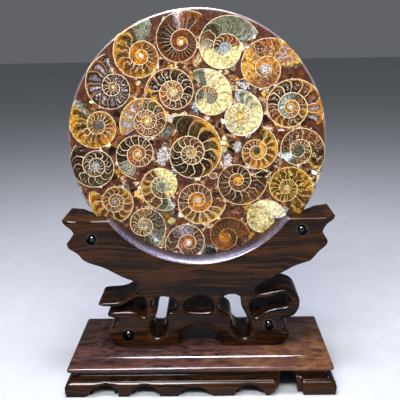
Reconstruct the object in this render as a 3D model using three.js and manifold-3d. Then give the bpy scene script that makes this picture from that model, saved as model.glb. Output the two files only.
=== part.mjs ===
// A round polished slice of ammonite-packed rock, standing in a carved wooden cradle on a
// moulded base with a scalloped apron. Millimetres, X to the right, Y away, Z up; the
// origin is the middle of the footprint, on the floor.
import * as THREE from "three";
import { mergeVertices } from "three/addons/utils/BufferGeometryUtils.js";
import Module from "manifold-3d";

const wasm = await Module();
wasm.setup();

// ---------------------------------------------------------------- driving dimensions
const DISC_RADIUS = 75; // the slice
const DISC_THICKNESS = 9;
const DISC_TILT = 3; // degrees it leans back
const DISC_CENTRE = new THREE.Vector3(0, 9.39, 140.16); // middle of the slice
const RIM_ROUND = 1.2; // polished edge
const FIT = 0.3; // clearance round each fossil, and round the slice in its seat

const CRADLE_FRONT = -10;
const CRADLE_BACK = 20;
const CRADLE_EASE = 0.5; // eased edges of the carved block
const LIP_RADIUS = 63.3; // front lip below the slice
const LIP_CENTRE_Z = 134.8;
const LIP_FALL = 1.4; // how far the lip drops towards the front
const SCOOP_RADIUS = 160; // hollow top of the rear wall
const SCOOP_LOW_Z = 79;
const SCOOP_SLOPE = 21.8; // degrees the rear top falls backwards
const KNOT_RADIUS = 3.2;
const KNOT_HEIGHT = 0.8;

const SLAB_HALF_X = 76;
const SLAB_HALF_Y = 35;
const SLAB_TOP = 18;
const SLAB_UNDER = 14.3;
const SLAB_BORDER = 12.3; // sloping margin round the raised middle
const SLAB_MARGIN_FALL = 0.9;
const APRON_THICKNESS = 6; // measured at the waist

const COLOURS = {
  cement: 0x6f4a42,
  amber: 0xa9701f,
  dark: 0x3c2a1c,
  pale: 0xb9a668,
  wood: 0x2c150d,
};

// ---------------------------------------------------------------- helpers
function solid(geometry) {
  const g = geometry.clone();
  g.deleteAttribute("normal");
  g.deleteAttribute("uv");
  const merged = mergeVertices(g, 1e-4);
  return new wasm.Manifold(
    new wasm.Mesh({
      numProp: 3,
      vertProperties: new Float32Array(merged.attributes.position.array),
      triVerts: new Uint32Array(merged.index.array),
    }),
  );
}

function geometryOf(body) {
  const mesh = body.getMesh();
  const count = mesh.numVert;
  const points = new Float32Array(count * 3);
  for (let i = 0; i < count; i++) {
    const at = i * mesh.numProp;
    points.set(mesh.vertProperties.subarray(at, at + 3), i * 3);
  }
  const indexed = new THREE.BufferGeometry();
  indexed.setAttribute("position", new THREE.BufferAttribute(points, 3));
  indexed.setIndex(new THREE.BufferAttribute(mesh.triVerts, 1));
  const flat = indexed.toNonIndexed();
  flat.computeVertexNormals();
  return flat;
}

function piece(name, body, colour, roughness) {
  const material = new THREE.MeshStandardMaterial({ color: colour, roughness, metalness: 0 });
  const mesh = new THREE.Mesh(geometryOf(body), material);
  mesh.name = name;
  return mesh;
}

// Smooth runs of points, joined at sharp corners.
function carved(runs, cuts) {
  const points = [];
  for (const run of runs) {
    const ends = run.map(([x, z]) => new THREE.Vector2(x, z));
    const steps = ends.length === 2 ? 1 : (ends.length - 1) * cuts;
    points.push(...new THREE.SplineCurve(ends).getPoints(steps).slice(0, -1));
  }
  return points;
}

// A closed smooth loop through the points.
function ring(list, cuts) {
  const knots = list.map(([x, z]) => new THREE.Vector3(x, z, 0));
  const curve = new THREE.CatmullRomCurve3(knots, true, "centripetal");
  return curve.getPoints(list.length * cuts).slice(0, -1).map((p) => new THREE.Vector2(p.x, p.y));
}

// An outline in X and Z, run from one Y to another.
function slabOf(outline, holes, front, back, ease) {
  const shape = new THREE.Shape(outline);
  for (const hole of holes) {
    shape.holes.push(new THREE.Path(hole));
  }
  const geometry = new THREE.ExtrudeGeometry(shape, {
    depth: back - front - 2 * ease,
    bevelEnabled: ease > 0,
    bevelThickness: ease,
    bevelSize: ease,
    bevelOffset: -ease,
    bevelSegments: 1,
  });
  geometry.rotateX(Math.PI / 2);
  geometry.translate(0, back - ease, 0);
  return solid(geometry);
}

// The outline moved outwards by a distance, corner by corner.
function grown(outline, distance) {
  const count = outline.length;
  return outline.map((p, i) => {
    const a = outline[(i + count - 1) % count];
    const b = outline[(i + 1) % count];
    const n1 = new THREE.Vector2(p.y - a.y, a.x - p.x).normalize();
    const n2 = new THREE.Vector2(b.y - p.y, p.x - b.x).normalize();
    const n = n1.clone().add(n2).normalize();
    return p.clone().addScaledVector(n, distance / Math.max(0.5, n.dot(n1)));
  });
}

const degrees = THREE.MathUtils.degToRad;

// ---------------------------------------------------------------- the slice
// Each fossil: place of its core across and up from the middle of the face, radius at the
// mouth, direction of the mouth in degrees, growth per turn, and the way it coils.
const FOSSILS = [
  { at: [-8, 56], radius: 19.5, mouth: 45, growth: 2.45, way: -1, tone: "dark" },
  { at: [-31, 49], radius: 20.7, mouth: 67, growth: 2.45, way: -1, tone: "amber" },
  { at: [16.5, 52.5], radius: 21, mouth: 16, growth: 2.3, way: -1, tone: "pale" },
  { at: [39.5, 40.5], radius: 21.3, mouth: 0, growth: 2.45, way: -1, tone: "amber" },
  { at: [-47.5, 31.5], radius: 19.6, mouth: 95, growth: 2.6, way: -1, tone: "amber" },
  { at: [-13, 28], radius: 17, mouth: 186, growth: 2.1, way: 1, tone: "dark" },
  { at: [7.5, 25], radius: 17.8, mouth: 127, growth: 2.55, way: 1, tone: "pale" },
  { at: [25, 13.5], radius: 16.1, mouth: 102, growth: 2.1, way: 1, tone: "pale" },
  { at: [54, 18.5], radius: 20.1, mouth: 332, growth: 1.95, way: -1, tone: "amber" },
  { at: [-57, 10], radius: 19.6, mouth: 122, growth: 2.65, way: -1, tone: "amber" },
  { at: [-28.5, 12], radius: 17.1, mouth: 212, growth: 2.1, way: 1, tone: "amber" },
  { at: [-4, -7], radius: 23.8, mouth: 120, growth: 2.25, way: 1, tone: "dark" },
  { at: [34.5, -6.5], radius: 14.7, mouth: 78, growth: 2.15, way: 1, tone: "amber" },
  { at: [59, -6], radius: 17.1, mouth: 304, growth: 2.1, way: -1, tone: "dark" },
  { at: [-34.5, -7], radius: 15.4, mouth: 270, growth: 2.05, way: 1, tone: "dark" },
  { at: [-59.5, -13.5], radius: 16.9, mouth: 125, growth: 2, way: -1, tone: "dark" },
  { at: [-21, -26], radius: 15.7, mouth: 300, growth: 1.95, way: 1, tone: "pale" },
  { at: [0, -35], radius: 17, mouth: 357, growth: 2.05, way: 1, tone: "amber" },
  { at: [23.5, -23.5], radius: 18.1, mouth: 8, growth: 2.3, way: 1, tone: "dark" },
  { at: [52, -28.5], radius: 19.3, mouth: 283, growth: 2.5, way: -1, tone: "amber" },
  { at: [-49, -35], radius: 16.3, mouth: 152, growth: 2.05, way: -1, tone: "amber" },
  { at: [38.5, -47], radius: 14.2, mouth: 4, growth: 2.2, way: -1, tone: "pale" },
  { at: [-32.5, -49.5], radius: 16.6, mouth: 262, growth: 2.5, way: -1, tone: "dark" },
  { at: [-6, -61], radius: 14.8, mouth: 205, growth: 2.2, way: 1, tone: "dark" },
  { at: [16.5, -57.5], radius: 14.7, mouth: 0, growth: 2.35, way: -1, tone: "dark" },
];

const discHalf = DISC_THICKNESS / 2;

function discBody() {
  const profile = [new THREE.Vector2(0, -discHalf)];
  for (const side of [-1, 1]) {
    for (const step of side < 0 ? [0, 1, 2] : [2, 1, 0]) {
      const turn = degrees(45 * step);
      profile.push(
        new THREE.Vector2(
          DISC_RADIUS - RIM_ROUND * (1 - Math.sin(turn)),
          side * (discHalf - RIM_ROUND * (1 - Math.cos(turn))),
        ),
      );
    }
  }
  profile.push(new THREE.Vector2(0, discHalf));
  return solid(new THREE.LatheGeometry(profile, 80));
}

function shellOutline({ at, radius, mouth, growth, way }) {
  const outline = [];
  const push = (phi, r) => {
    const angle = degrees(mouth - way * phi);
    outline.push(new THREE.Vector2(at[0] + r * Math.cos(angle), at[1] + r * Math.sin(angle)));
  };
  push(0, radius * 0.86);
  for (const phi of [7, 22, 40, 60, 80, 100, 120, 140, 160, 180, 202, 225, 250, 275, 300, 330, 360]) {
    push(phi, radius * Math.pow(growth, -phi / 360));
  }
  return THREE.ShapeUtils.isClockWise(outline) ? outline.reverse() : outline;
}

const plate = new THREE.Group();
plate.name = "plate";
plate.position.copy(DISC_CENTRE);
plate.rotation.x = degrees(-DISC_TILT);

const disc = discBody();
let cement = disc;
FOSSILS.forEach((fossil, index) => {
  const outline = shellOutline(fossil);
  const reach = Math.hypot(...fossil.at) + fossil.radius;
  let body = slabOf(outline, [], -discHalf, discHalf, 0);
  if (reach > DISC_RADIUS - 2 * RIM_ROUND) {
    body = body.intersect(disc);
  }
  cement = cement.subtract(slabOf(grown(outline, FIT), [], -discHalf - 1, discHalf + 1, 0));
  const name = "ammonite_" + String(index + 1).padStart(2, "0");
  plate.add(piece(name, body, COLOURS[fossil.tone], 0.2));
});
plate.add(piece("matrix_disc", cement, COLOURS.cement, 0.25));

// ---------------------------------------------------------------- the carved cradle
// Outer outline, anticlockwise from the left foot of the arch, as sharp-ended smooth runs.
const CRADLE_OUTLINE = [
  [[-46, SLAB_TOP], [-13, SLAB_TOP]],
  [[-13, SLAB_TOP], [-12.6, 23.4], [-9.9, 27.4], [-5.6, 29.6], [0.4, 30.4], [5.9, 29.2],
    [9.7, 25.8], [12.4, 21.5], [13, SLAB_TOP]],
  [[13, SLAB_TOP], [42.5, SLAB_TOP]],
  [[42.5, SLAB_TOP], [49.6, 20], [53.4, 22.9], [53.2, 27], [49.2, 28.8]],
  [[49.2, 28.8], [49.9, 31.6], [49, 35.4]],
  [[49, 35.4], [53.7, 35.6], [57.2, 37.9], [59.4, 42], [59.6, 46.5], [57.8, 50.3],
    [54.2, 52.7], [48.8, 53.5], [43, 52.6], [37.6, 51.6], [33.8, 51]],
  [[33.8, 51], [33.2, 53.4], [33.1, 55.6]],
  [[33.1, 55.6], [38.6, 58.9], [47.6, 63.6], [56.4, 68.4], [65.3, 71.4]],
  [[65.3, 71.4], [70.2, 77.2], [73.6, 80.2], [75, 82.8], [73.6, 85.6]],
  [[73.6, 85.6], [71.9, 89], [74, 93.2], [77.6, 96], [79, 98.4]],
  [[79, 98.4], [70, 97.3], [52, 97.4]],
  [[52, 97.4], [-52, 97.4]],
  [[-52, 97.4], [-70, 97.2], [-79, 98]],
  [[-79, 98], [-77.4, 95], [-73.6, 91.8], [-72.3, 89], [-73.2, 86.1]],
  [[-73.2, 86.1], [-76.4, 84], [-75.8, 80.6], [-71, 77.4], [-67.9, 73.6], [-64.5, 71.5]],
  [[-64.5, 71.5], [-55.4, 68.2], [-46, 63], [-36.6, 58.8], [-33.7, 55.6]],
  [[-33.7, 55.6], [-37.4, 52.4], [-42, 50], [-46.4, 47.6], [-53, 46.7], [-61.4, 46.4]],
  [[-61.4, 46.4], [-61, 44.8], [-58, 43.9]],
  [[-58, 43.9], [-51.6, 43.6], [-46, 44.3], [-42.2, 46.7], [-38.4, 49], [-34.8, 49.8],
    [-32, 47.6]],
  [[-32, 47.6], [-32.2, 36.2]],
  [[-32.2, 36.2], [-36, 38.6], [-39.4, 40.7], [-46.3, 41.1], [-53, 40.4], [-56.6, 38.6]],
  [[-56.6, 38.6], [-53.4, 36.8], [-49.8, 36.2]],
  [[-49.8, 36.2], [-49.2, 33.4], [-50.2, 30.6]],
  [[-50.2, 30.6], [-53.6, 29.8], [-54.9, 26.6], [-53.8, 22.8], [-50.6, 20], [-46, SLAB_TOP]],
];

// Openings carved right through, as closed smooth loops.
const CRADLE_OPENINGS = [
  [[-28.6, 47], [-24.6, 49.3], [-19.8, 49.5], [-15.4, 48], [-13.4, 44.6], [-15, 41],
    [-20, 39], [-20.1, 33.5], [-20.6, 27.6], [-24.4, 23.8], [-28.2, 24.2], [-29.5, 29.4],
    [-27.6, 35.4], [-25, 40], [-28.4, 42.2]],
  [[-8.7, 41.2], [-8.4, 45.2], [-5.2, 48.2], [-0.9, 49.7], [3.6, 49.7], [7.2, 47.2],
    [7.8, 43.8], [6.6, 40.4], [-1, 39.9]],
  [[11, 42.8], [12.4, 47], [16, 50.2], [20.9, 50.7], [24.8, 48.4], [24.4, 44],
    [27.4, 37.6], [30.2, 31], [30, 25.6], [26.8, 22.8], [22.6, 24.4], [19.4, 28.2],
    [19.2, 34.4], [15.6, 38.2], [12, 40.2]],
  [[30.9, 46.8], [37, 48.2], [41.7, 48.4], [45.6, 49.7], [49.4, 50], [53, 48.4],
    [53.6, 44.6], [50.4, 42.6], [44.6, 42], [39.9, 40.5], [36, 37.8], [32.6, 35.9],
    [30.7, 38.7], [30, 42.6]],
];

const KNOTS = [[-62, 86], [59.8, 90.4], [-43.2, 25.8], [41.2, 31.4]];

function cradleBody() {
  const outline = carved(CRADLE_OUTLINE, 2);
  const holes = CRADLE_OPENINGS.map((loop) => ring(loop, 2).reverse());
  let body = slabOf(outline, holes, CRADLE_FRONT, CRADLE_BACK, CRADLE_EASE);

  for (const [x, z] of KNOTS) {
    // a low dome: the cap of a ball that stands proud of the front face
    const ball = (KNOT_RADIUS * KNOT_RADIUS + KNOT_HEIGHT * KNOT_HEIGHT) / (2 * KNOT_HEIGHT);
    const cap = [];
    for (const part of [1, 0.66, 0.33, 0]) {
      const r = KNOT_RADIUS * part;
      const rise = Math.sqrt(ball * ball - r * r) - (ball - KNOT_HEIGHT);
      cap.push(new THREE.Vector2(r, rise));
    }
    const foot = [new THREE.Vector2(0, -1), new THREE.Vector2(KNOT_RADIUS, -1)];
    const dome = new THREE.LatheGeometry([...foot, ...cap], 16);
    dome.rotateX(Math.PI);
    dome.translate(x, CRADLE_FRONT, z);
    body = body.add(solid(dome));
  }

  // the seat of the slice
  const seat = new THREE.CylinderGeometry(
    DISC_RADIUS + FIT,
    DISC_RADIUS + FIT,
    DISC_THICKNESS + 2 * FIT,
    96,
  );
  seat.rotateX(degrees(-DISC_TILT));
  seat.translate(DISC_CENTRE.x, DISC_CENTRE.y, DISC_CENTRE.z);
  body = body.subtract(solid(seat));

  // the front lip, a shallow cone that falls towards the front
  const run = 1.5 - CRADLE_FRONT;
  const from = CRADLE_FRONT - 1;
  const to = 6;
  const radiusAt = (y) => LIP_RADIUS - (LIP_FALL * (y - CRADLE_FRONT)) / run;
  const lip = new THREE.CylinderGeometry(radiusAt(to), radiusAt(from), to - from, 96);
  lip.translate(0, (from + to) / 2, LIP_CENTRE_Z);
  body = body.subtract(solid(lip));

  // the hollow top behind the slice
  const scoop = new THREE.CylinderGeometry(SCOOP_RADIUS, SCOOP_RADIUS, 120, 160);
  const slope = degrees(SCOOP_SLOPE);
  scoop.rotateX(-slope);
  scoop.translate(0, CRADLE_BACK, SCOOP_LOW_Z + SCOOP_RADIUS / Math.cos(slope));
  return body.subtract(solid(scoop));
}

const cradle = piece("cradle", cradleBody(), COLOURS.wood, 0.3);

// ---------------------------------------------------------------- the base
function slabBody() {
  const inX = SLAB_HALF_X - SLAB_BORDER;
  const inY = SLAB_HALF_Y - SLAB_BORDER;
  const edge = SLAB_TOP - SLAB_MARGIN_FALL;
  const round = 0.8;
  const levels = [
    [SLAB_HALF_X - round, SLAB_HALF_Y - round, SLAB_UNDER],
    [SLAB_HALF_X, SLAB_HALF_Y, SLAB_UNDER + round],
    [SLAB_HALF_X, SLAB_HALF_Y, edge - round],
    [SLAB_HALF_X - round, SLAB_HALF_Y - round, edge],
    [inX + 0.6, inY + 0.6, SLAB_TOP - 0.3],
    [inX, inY, SLAB_TOP],
  ];
  const points = [];
  for (const [x, y, z] of levels) {
    points.push(-x, -y, z, x, -y, z, x, y, z, -x, y, z);
  }
  const faces = [2, 1, 0, 3, 2, 0];
  for (let level = 0; level < levels.length - 1; level++) {
    for (let side = 0; side < 4; side++) {
      const a = level * 4 + side;
      const b = level * 4 + ((side + 1) % 4);
      faces.push(a, b, b + 4, a, b + 4, a + 4);
    }
  }
  const top = (levels.length - 1) * 4;
  faces.push(top, top + 1, top + 2, top, top + 2, top + 3);
  const geometry = new THREE.BufferGeometry();
  geometry.setAttribute("position", new THREE.Float32BufferAttribute(points, 3));
  geometry.setIndex(faces);
  return solid(geometry);
}

const baseSlab = piece("base_slab", slabBody(), COLOURS.wood, 0.3);

// Section of the apron: how far it stands out from the slab's edge, and its height.
const APRON_SECTION = [
  [-1.6, SLAB_UNDER], [-1.9, 12.8], [-1.2, 11.8], [0.2, 10.6], [1.2, 9.2], [1.7, 7.4],
  [1.7, 5.2], [1.2, 2.6], [0.8, 0],
];

// Lower edge of the long apron, left to right, as sharp-ended smooth runs.
const LONG_EDGE = [
  [[-80, 0], [-62.4, 0]],
  [[-62.4, 0], [-59.4, 3.4], [-54.7, 5], [-50.6, 3.8], [-49.8, 0]],
  [[-49.8, 0], [-37.9, 0]],
  [[-37.9, 0], [-35.6, 3], [-31.8, 4], [-27.6, 3], [-25.6, 0]],
  [[-25.6, 0], [-9.7, 0]],
  [[-9.7, 0], [-7.4, 2.2], [-3.6, 2.8], [1, 2.2], [4.3, 0]],
  [[4.3, 0], [22.1, 0]],
  [[22.1, 0], [24, 3], [27.8, 4.1], [32.4, 3], [34.7, 0]],
  [[34.7, 0], [42.1, 0]],
  [[42.1, 0], [44.8, 3.4], [45.4, 8], [46.6, 11.4], [50.2, 12.6], [53.6, 11.4], [55, 8],
    [55.4, 3.4], [55.8, 0]],
  [[55.8, 0], [80, 0]],
];

const SHORT_EDGE = [
  [[-40, 0], [-23, 0]],
  [[-23, 0], [-20.6, 3.2], [-16.6, 4.6], [-12.4, 3.2], [-10.4, 0]],
  [[-10.4, 0], [10.4, 0]],
  [[10.4, 0], [12.4, 3.2], [16.6, 4.6], [20.6, 3.2], [23, 0]],
  [[23, 0], [40, 0]],
];

// One mitred board of the apron. It is made as a front board, half as long as `half`.
function apronBody(half, offset, edge) {
  const lower = carved(edge, 3);
  const last = edge[edge.length - 1][1];
  const outline = [...lower, new THREE.Vector2(...last)];
  outline.push(new THREE.Vector2(half + 6, SLAB_UNDER), new THREE.Vector2(-half - 6, SLAB_UNDER));
  const board = slabOf(outline, [], -offset - 6, -offset + 20, 0);

  const inner = 1.6 + APRON_THICKNESS;
  const section = new THREE.Shape();
  section.moveTo(-inner, 0);
  section.lineTo(-inner, SLAB_UNDER);
  for (const [out, z] of APRON_SECTION) {
    section.lineTo(out, z);
  }
  const run = new THREE.ExtrudeGeometry(section, { depth: 2 * half + 20, bevelEnabled: false });
  // section X points outwards, section Y up, the run goes along the board
  run.applyMatrix4(new THREE.Matrix4().set(0, 0, -1, half + 10, -1, 0, 0, -offset, 0, 1, 0, 0, 0, 0, 0, 1));
  const plan = new THREE.Shape([
    new THREE.Vector2(-half - 6, -offset - 6),
    new THREE.Vector2(half + 6, -offset - 6),
    new THREE.Vector2(half - 12, -offset + 12),
    new THREE.Vector2(-half + 12, -offset + 12),
  ]);
  const mitre = new THREE.ExtrudeGeometry(plan, { depth: 40, bevelEnabled: false });
  mitre.translate(0, 0, -10);
  return board.intersect(solid(run)).intersect(solid(mitre));
}

const apron = new THREE.Group();
apron.name = "apron";
const front = piece("skirt_front", apronBody(SLAB_HALF_X, SLAB_HALF_Y, LONG_EDGE), COLOURS.wood, 0.3);
const back = piece("skirt_back", apronBody(SLAB_HALF_X, SLAB_HALF_Y, LONG_EDGE), COLOURS.wood, 0.3);
const left = piece("skirt_left", apronBody(SLAB_HALF_Y, SLAB_HALF_X, SHORT_EDGE), COLOURS.wood, 0.3);
const right = piece("skirt_right", apronBody(SLAB_HALF_Y, SLAB_HALF_X, SHORT_EDGE), COLOURS.wood, 0.3);
back.rotation.z = Math.PI;
left.rotation.z = -Math.PI / 2;
right.rotation.z = Math.PI / 2;
apron.add(front, back, left, right);

const group = new THREE.Group();
group.name = "ammonite_plate";
group.add(plate, cradle, baseSlab, apron);

export default group;
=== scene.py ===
import logging
import math
from collections.abc import Callable, Iterable, Sequence
from dataclasses import dataclass
from enum import Enum

import bpy
from mathutils import Matrix, Vector


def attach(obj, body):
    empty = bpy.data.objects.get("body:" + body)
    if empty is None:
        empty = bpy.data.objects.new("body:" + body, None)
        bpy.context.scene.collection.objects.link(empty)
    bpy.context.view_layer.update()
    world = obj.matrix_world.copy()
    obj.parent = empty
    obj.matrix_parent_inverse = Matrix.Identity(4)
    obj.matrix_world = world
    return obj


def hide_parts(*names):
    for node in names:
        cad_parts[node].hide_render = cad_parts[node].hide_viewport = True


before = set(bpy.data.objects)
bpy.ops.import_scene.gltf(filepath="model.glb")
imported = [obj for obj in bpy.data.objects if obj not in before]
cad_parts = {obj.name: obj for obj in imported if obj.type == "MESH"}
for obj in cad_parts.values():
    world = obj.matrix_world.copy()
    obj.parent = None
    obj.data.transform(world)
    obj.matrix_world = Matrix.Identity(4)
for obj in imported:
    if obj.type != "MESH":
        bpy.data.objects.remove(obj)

log = logging.getLogger("ammonite_slice")

# Sizes and places are in millimetres, X across, Y towards the back and Z up. MM turns them
# into metres. The colours are linear.
MM = 0.001
Point = tuple[float, float]
Run = Sequence[Point]
Place = tuple[float, float, float]
Colour = tuple[float, float, float]
BODY = "root"


# ------------------------------------------------------------------ workshop helpers
def clear_selection() -> None:
    """Leaves nothing selected."""
    bpy.ops.object.select_all(action="DESELECT")


def pick(piece: bpy.types.Object) -> None:
    """Makes a piece the only selected and the active one.

    Args:
        piece: The object to work on.
    """
    clear_selection()
    piece.select_set(True)
    bpy.context.view_layer.objects.active = piece


def finish_modifier(piece: bpy.types.Object, kind: str, **settings: object) -> None:
    """Adds a modifier, sets it and applies it.

    Args:
        piece: The object that takes it.
        kind: Blender's name for the modifier type.
        **settings: Values for the modifier's own properties.
    """
    pick(piece)
    bpy.ops.object.modifier_add(type=kind)
    modifier = piece.modifiers[-1]
    for name, value in settings.items():
        setattr(modifier, name, value)
    bpy.ops.object.modifier_apply(modifier=modifier.name)


def cut(piece: bpy.types.Object, tool: bpy.types.Object, operation: str = "DIFFERENCE",
        keep_tool: bool = False) -> None:
    """Cuts, joins or trims a piece with another solid.

    Args:
        piece: The object that is changed.
        tool: The solid that works on it.
        operation: DIFFERENCE, UNION or INTERSECT.
        keep_tool: Whether the tool stays for another cut.
    """
    finish_modifier(piece, "BOOLEAN", operation=operation, object=tool, solver="EXACT")
    if not keep_tool:
        bpy.data.objects.remove(tool)


def place_in_mesh(piece: bpy.types.Object) -> None:
    """Moves a piece's place, turn and scale into its mesh."""
    pick(piece)
    bpy.ops.object.transform_apply(location=True, rotation=True, scale=True)


def tidy_mesh(piece: bpy.types.Object, distance: float = 1e-6) -> None:
    """Merges doubled points and points the faces outwards.

    Args:
        piece: The mesh object.
        distance: Points nearer than this are merged, in metres.
    """
    pick(piece)
    bpy.ops.object.mode_set(mode="EDIT")
    bpy.ops.mesh.select_all(action="SELECT")
    bpy.ops.mesh.remove_doubles(threshold=distance)
    bpy.ops.mesh.normals_make_consistent(inside=False)
    bpy.ops.object.mode_set(mode="OBJECT")


def choose(piece: bpy.types.Object, kind: str, wanted: Callable[..., bool]) -> None:
    """Leaves a piece in edit mode with only some of its edges or faces selected.

    Args:
        piece: The mesh object.
        kind: EDGE or FACE.
        wanted: Says of one edge or face whether to select it.
    """
    pick(piece)
    bpy.ops.object.mode_set(mode="EDIT")
    bpy.ops.mesh.select_mode(type=kind)
    bpy.ops.mesh.select_all(action="DESELECT")
    bpy.ops.object.mode_set(mode="OBJECT")
    for part in piece.data.edges if kind == "EDGE" else piece.data.polygons:
        part.select = wanted(part)
    bpy.ops.object.mode_set(mode="EDIT")


def rub_down(piece: bpy.types.Object, passes: int, amount: Callable[[float], float]) -> None:
    """Rounds the edges of a piece by smoothing, more at some heights than at others.

    Args:
        piece: The mesh object.
        passes: How often it is rubbed over.
        amount: Gives the share of the effect at a height in millimetres.
    """
    carved = piece.vertex_groups.new(name="carved")
    for corner in piece.data.vertices:
        share = amount(corner.co.z / MM)
        if share > 0:
            carved.add([corner.index], share, "REPLACE")
    finish_modifier(piece, "SMOOTH", factor=0.5, iterations=passes, vertex_group="carved")


def smooth_by_angle(piece: bpy.types.Object, degrees: float) -> None:
    """Shades a piece smooth, but for edges sharper than an angle."""
    pick(piece)
    bpy.ops.object.shade_smooth_by_angle(angle=math.radians(degrees))


def spline_through(run: Run, steps: int) -> list[Point]:
    """A smooth open line through the points of a run.

    Args:
        run: The points, two for a straight line.
        steps: Parts in each span.

    Returns:
        The points along the line, without its last one.
    """
    if len(run) == 2:
        return [run[0]]
    line: list[Point] = []
    for i in range(len(run) - 1):
        p0, p1, p2 = run[max(i - 1, 0)], run[i], run[i + 1]
        p3 = run[min(i + 2, len(run) - 1)]
        for step in range(steps):
            t = step / steps
            line.append(tuple(
                0.5 * (2 * p1[a] + (p2[a] - p0[a]) * t
                       + (2 * p0[a] - 5 * p1[a] + 4 * p2[a] - p3[a]) * t * t
                       + (3 * p1[a] - p0[a] - 3 * p2[a] + p3[a]) * t ** 3)
                for a in (0, 1)))
    return line


def carved_outline(runs: Sequence[Run], steps: int) -> list[Point]:
    """Smooth runs joined at sharp corners into one closed outline."""
    return [point for run in runs for point in spline_through(run, steps)]


def carved_loop(loop: Run, steps: int) -> list[Point]:
    """A closed smooth outline through the points of a loop."""
    count = len(loop)
    wrapped = [loop[(i - 1) % count] for i in range(count + 3)]
    return spline_through(wrapped, steps)[steps:-steps]


def sawn_block(name: str, outlines: Sequence[Sequence[Point]], front: float,
               back: float) -> bpy.types.Object:
    """A block sawn along outlines in X and Z, the first one outside and the rest openings.

    Args:
        name: The object's name.
        outlines: Closed outlines in millimetres.
        front: Y of the front face, in millimetres.
        back: Y of the back face, in millimetres.

    Returns:
        The closed mesh object, with its place in its mesh.
    """
    clear_selection()
    bpy.ops.curve.primitive_bezier_circle_add(radius=1)
    drawing = bpy.context.object
    drawing.name = name
    sheet = drawing.data
    sheet.splines.clear()
    sheet.dimensions = "2D"
    sheet.fill_mode = "BOTH"
    for outline in outlines:
        spline = sheet.splines.new("POLY")
        spline.points.add(len(outline) - 1)
        for point, (x, z) in zip(spline.points, outline):
            point.co = (x * MM, z * MM, 0, 1)
        spline.use_cyclic_u = True
    sheet.extrude = (back - front) / 2 * MM
    drawing.rotation_euler = (math.pi / 2, 0, 0)
    drawing.location = (0, (front + back) / 2 * MM, 0)
    bpy.ops.object.convert(target="MESH")
    block = bpy.context.object
    block.name = name
    place_in_mesh(block)
    tidy_mesh(block)
    return block


def drum(name: str, radius: float, depth: float, centre: Sequence[float], turn_x: float = 0.0,
         sides: int = 256, end_radius: float | None = None) -> bpy.types.Object:
    """A drum or a cone frustum whose axis runs front to back.

    Args:
        name: The object's name.
        radius: Radius at its front end, in millimetres.
        depth: Length, in millimetres.
        centre: Middle, in millimetres.
        turn_x: Degrees that its back end is lowered.
        sides: Points round it.
        end_radius: Radius at its back end, the same as the front where None.

    Returns:
        The mesh object, with its place in its mesh.
    """
    clear_selection()
    bpy.ops.mesh.primitive_cone_add(
        vertices=sides, radius1=radius * MM,
        radius2=(radius if end_radius is None else end_radius) * MM, depth=depth * MM,
        location=[c * MM for c in centre], rotation=(-math.radians(90 + turn_x), 0, 0))
    body = bpy.context.object
    body.name = name
    place_in_mesh(body)
    return body


def turned(name: str, rings: Sequence[Point], x: float, z: float,
           sides: int = 256) -> bpy.types.Object:
    """A solid turned about an axis that runs front to back.

    Args:
        name: The object's name.
        rings: Y and radius of each ring from the front, in millimetres.
        x: Place of the axis across, in millimetres.
        z: Height of the axis, in millimetres.
        sides: Points round it.

    Returns:
        The closed mesh object, with its place in its mesh.
    """
    clear_selection()
    y, radius = rings[0]
    bpy.ops.mesh.primitive_circle_add(vertices=sides, radius=radius * MM, fill_type="NGON",
                                      location=(x * MM, y * MM, z * MM),
                                      rotation=(math.pi / 2, 0, 0))
    body = bpy.context.object
    body.name = name
    place_in_mesh(body)
    bpy.ops.object.mode_set(mode="EDIT")
    bpy.ops.mesh.select_all(action="SELECT")
    for next_y, next_radius in rings[1:]:
        bpy.ops.mesh.extrude_region_move(
            TRANSFORM_OT_translate={"value": (0, (next_y - y) * MM, 0)})
        share = next_radius / radius
        bpy.ops.transform.resize(value=(share, 1, share),
                                 center_override=(x * MM, next_y * MM, z * MM))
        y, radius = next_y, next_radius
    bpy.ops.object.mode_set(mode="OBJECT")
    tidy_mesh(body)
    return body


def dress(piece: bpy.types.Object, material: bpy.types.Material) -> None:
    """Gives a piece one material all over."""
    piece.data.materials.clear()
    piece.data.materials.append(material)


def seat(piece: bpy.types.Object, nodes: Iterable[str]) -> None:
    """Rides a piece on the body, hides the CAD nodes that it stands for and names them in the log.

    Args:
        piece: The finished piece.
        nodes: The CAD nodes that it replaces.
    """
    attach(piece, BODY)
    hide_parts(*nodes)
    log.info("%s stands for %s", piece.name, ", ".join(nodes))

# ------------------------------------------------------------------ node boards
VALUE = "NodeSocketFloat"
COLOUR = "NodeSocketColor"
VECTOR = "NodeSocketVector"
Sockets = dict[str, Sequence[str]]


class Signal:
    """What comes out of a node, in a form that arithmetic can be written with."""

    def __init__(self, board: "Board", socket: bpy.types.NodeSocket) -> None:
        """Wraps an output socket.

        Args:
            board: The board that it lies on.
            socket: The socket.
        """
        self.board = board
        self.socket = socket

    def __add__(self, other: "Value") -> "Signal":
        """The sum with a number or a signal."""
        return self.board.maths("ADD", self, other)

    def __sub__(self, other: "Value") -> "Signal":
        """This signal less a number or a signal."""
        return self.board.maths("SUBTRACT", self, other)

    def __rsub__(self, other: float) -> "Signal":
        """A number less this signal."""
        return self.board.maths("SUBTRACT", other, self)

    def __mul__(self, other: "Value") -> "Signal":
        """The product with a number or a signal."""
        return self.board.maths("MULTIPLY", self, other)

    def __truediv__(self, other: "Value") -> "Signal":
        """This signal divided by a number or a signal."""
        return self.board.maths("DIVIDE", self, other)

    def __rtruediv__(self, other: float) -> "Signal":
        """A number divided by this signal."""
        return self.board.maths("DIVIDE", other, self)

    __radd__ = __add__
    __rmul__ = __mul__


Value = Signal | float
Paint = Signal | Colour
Signals = dict[str, Signal]


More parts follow.
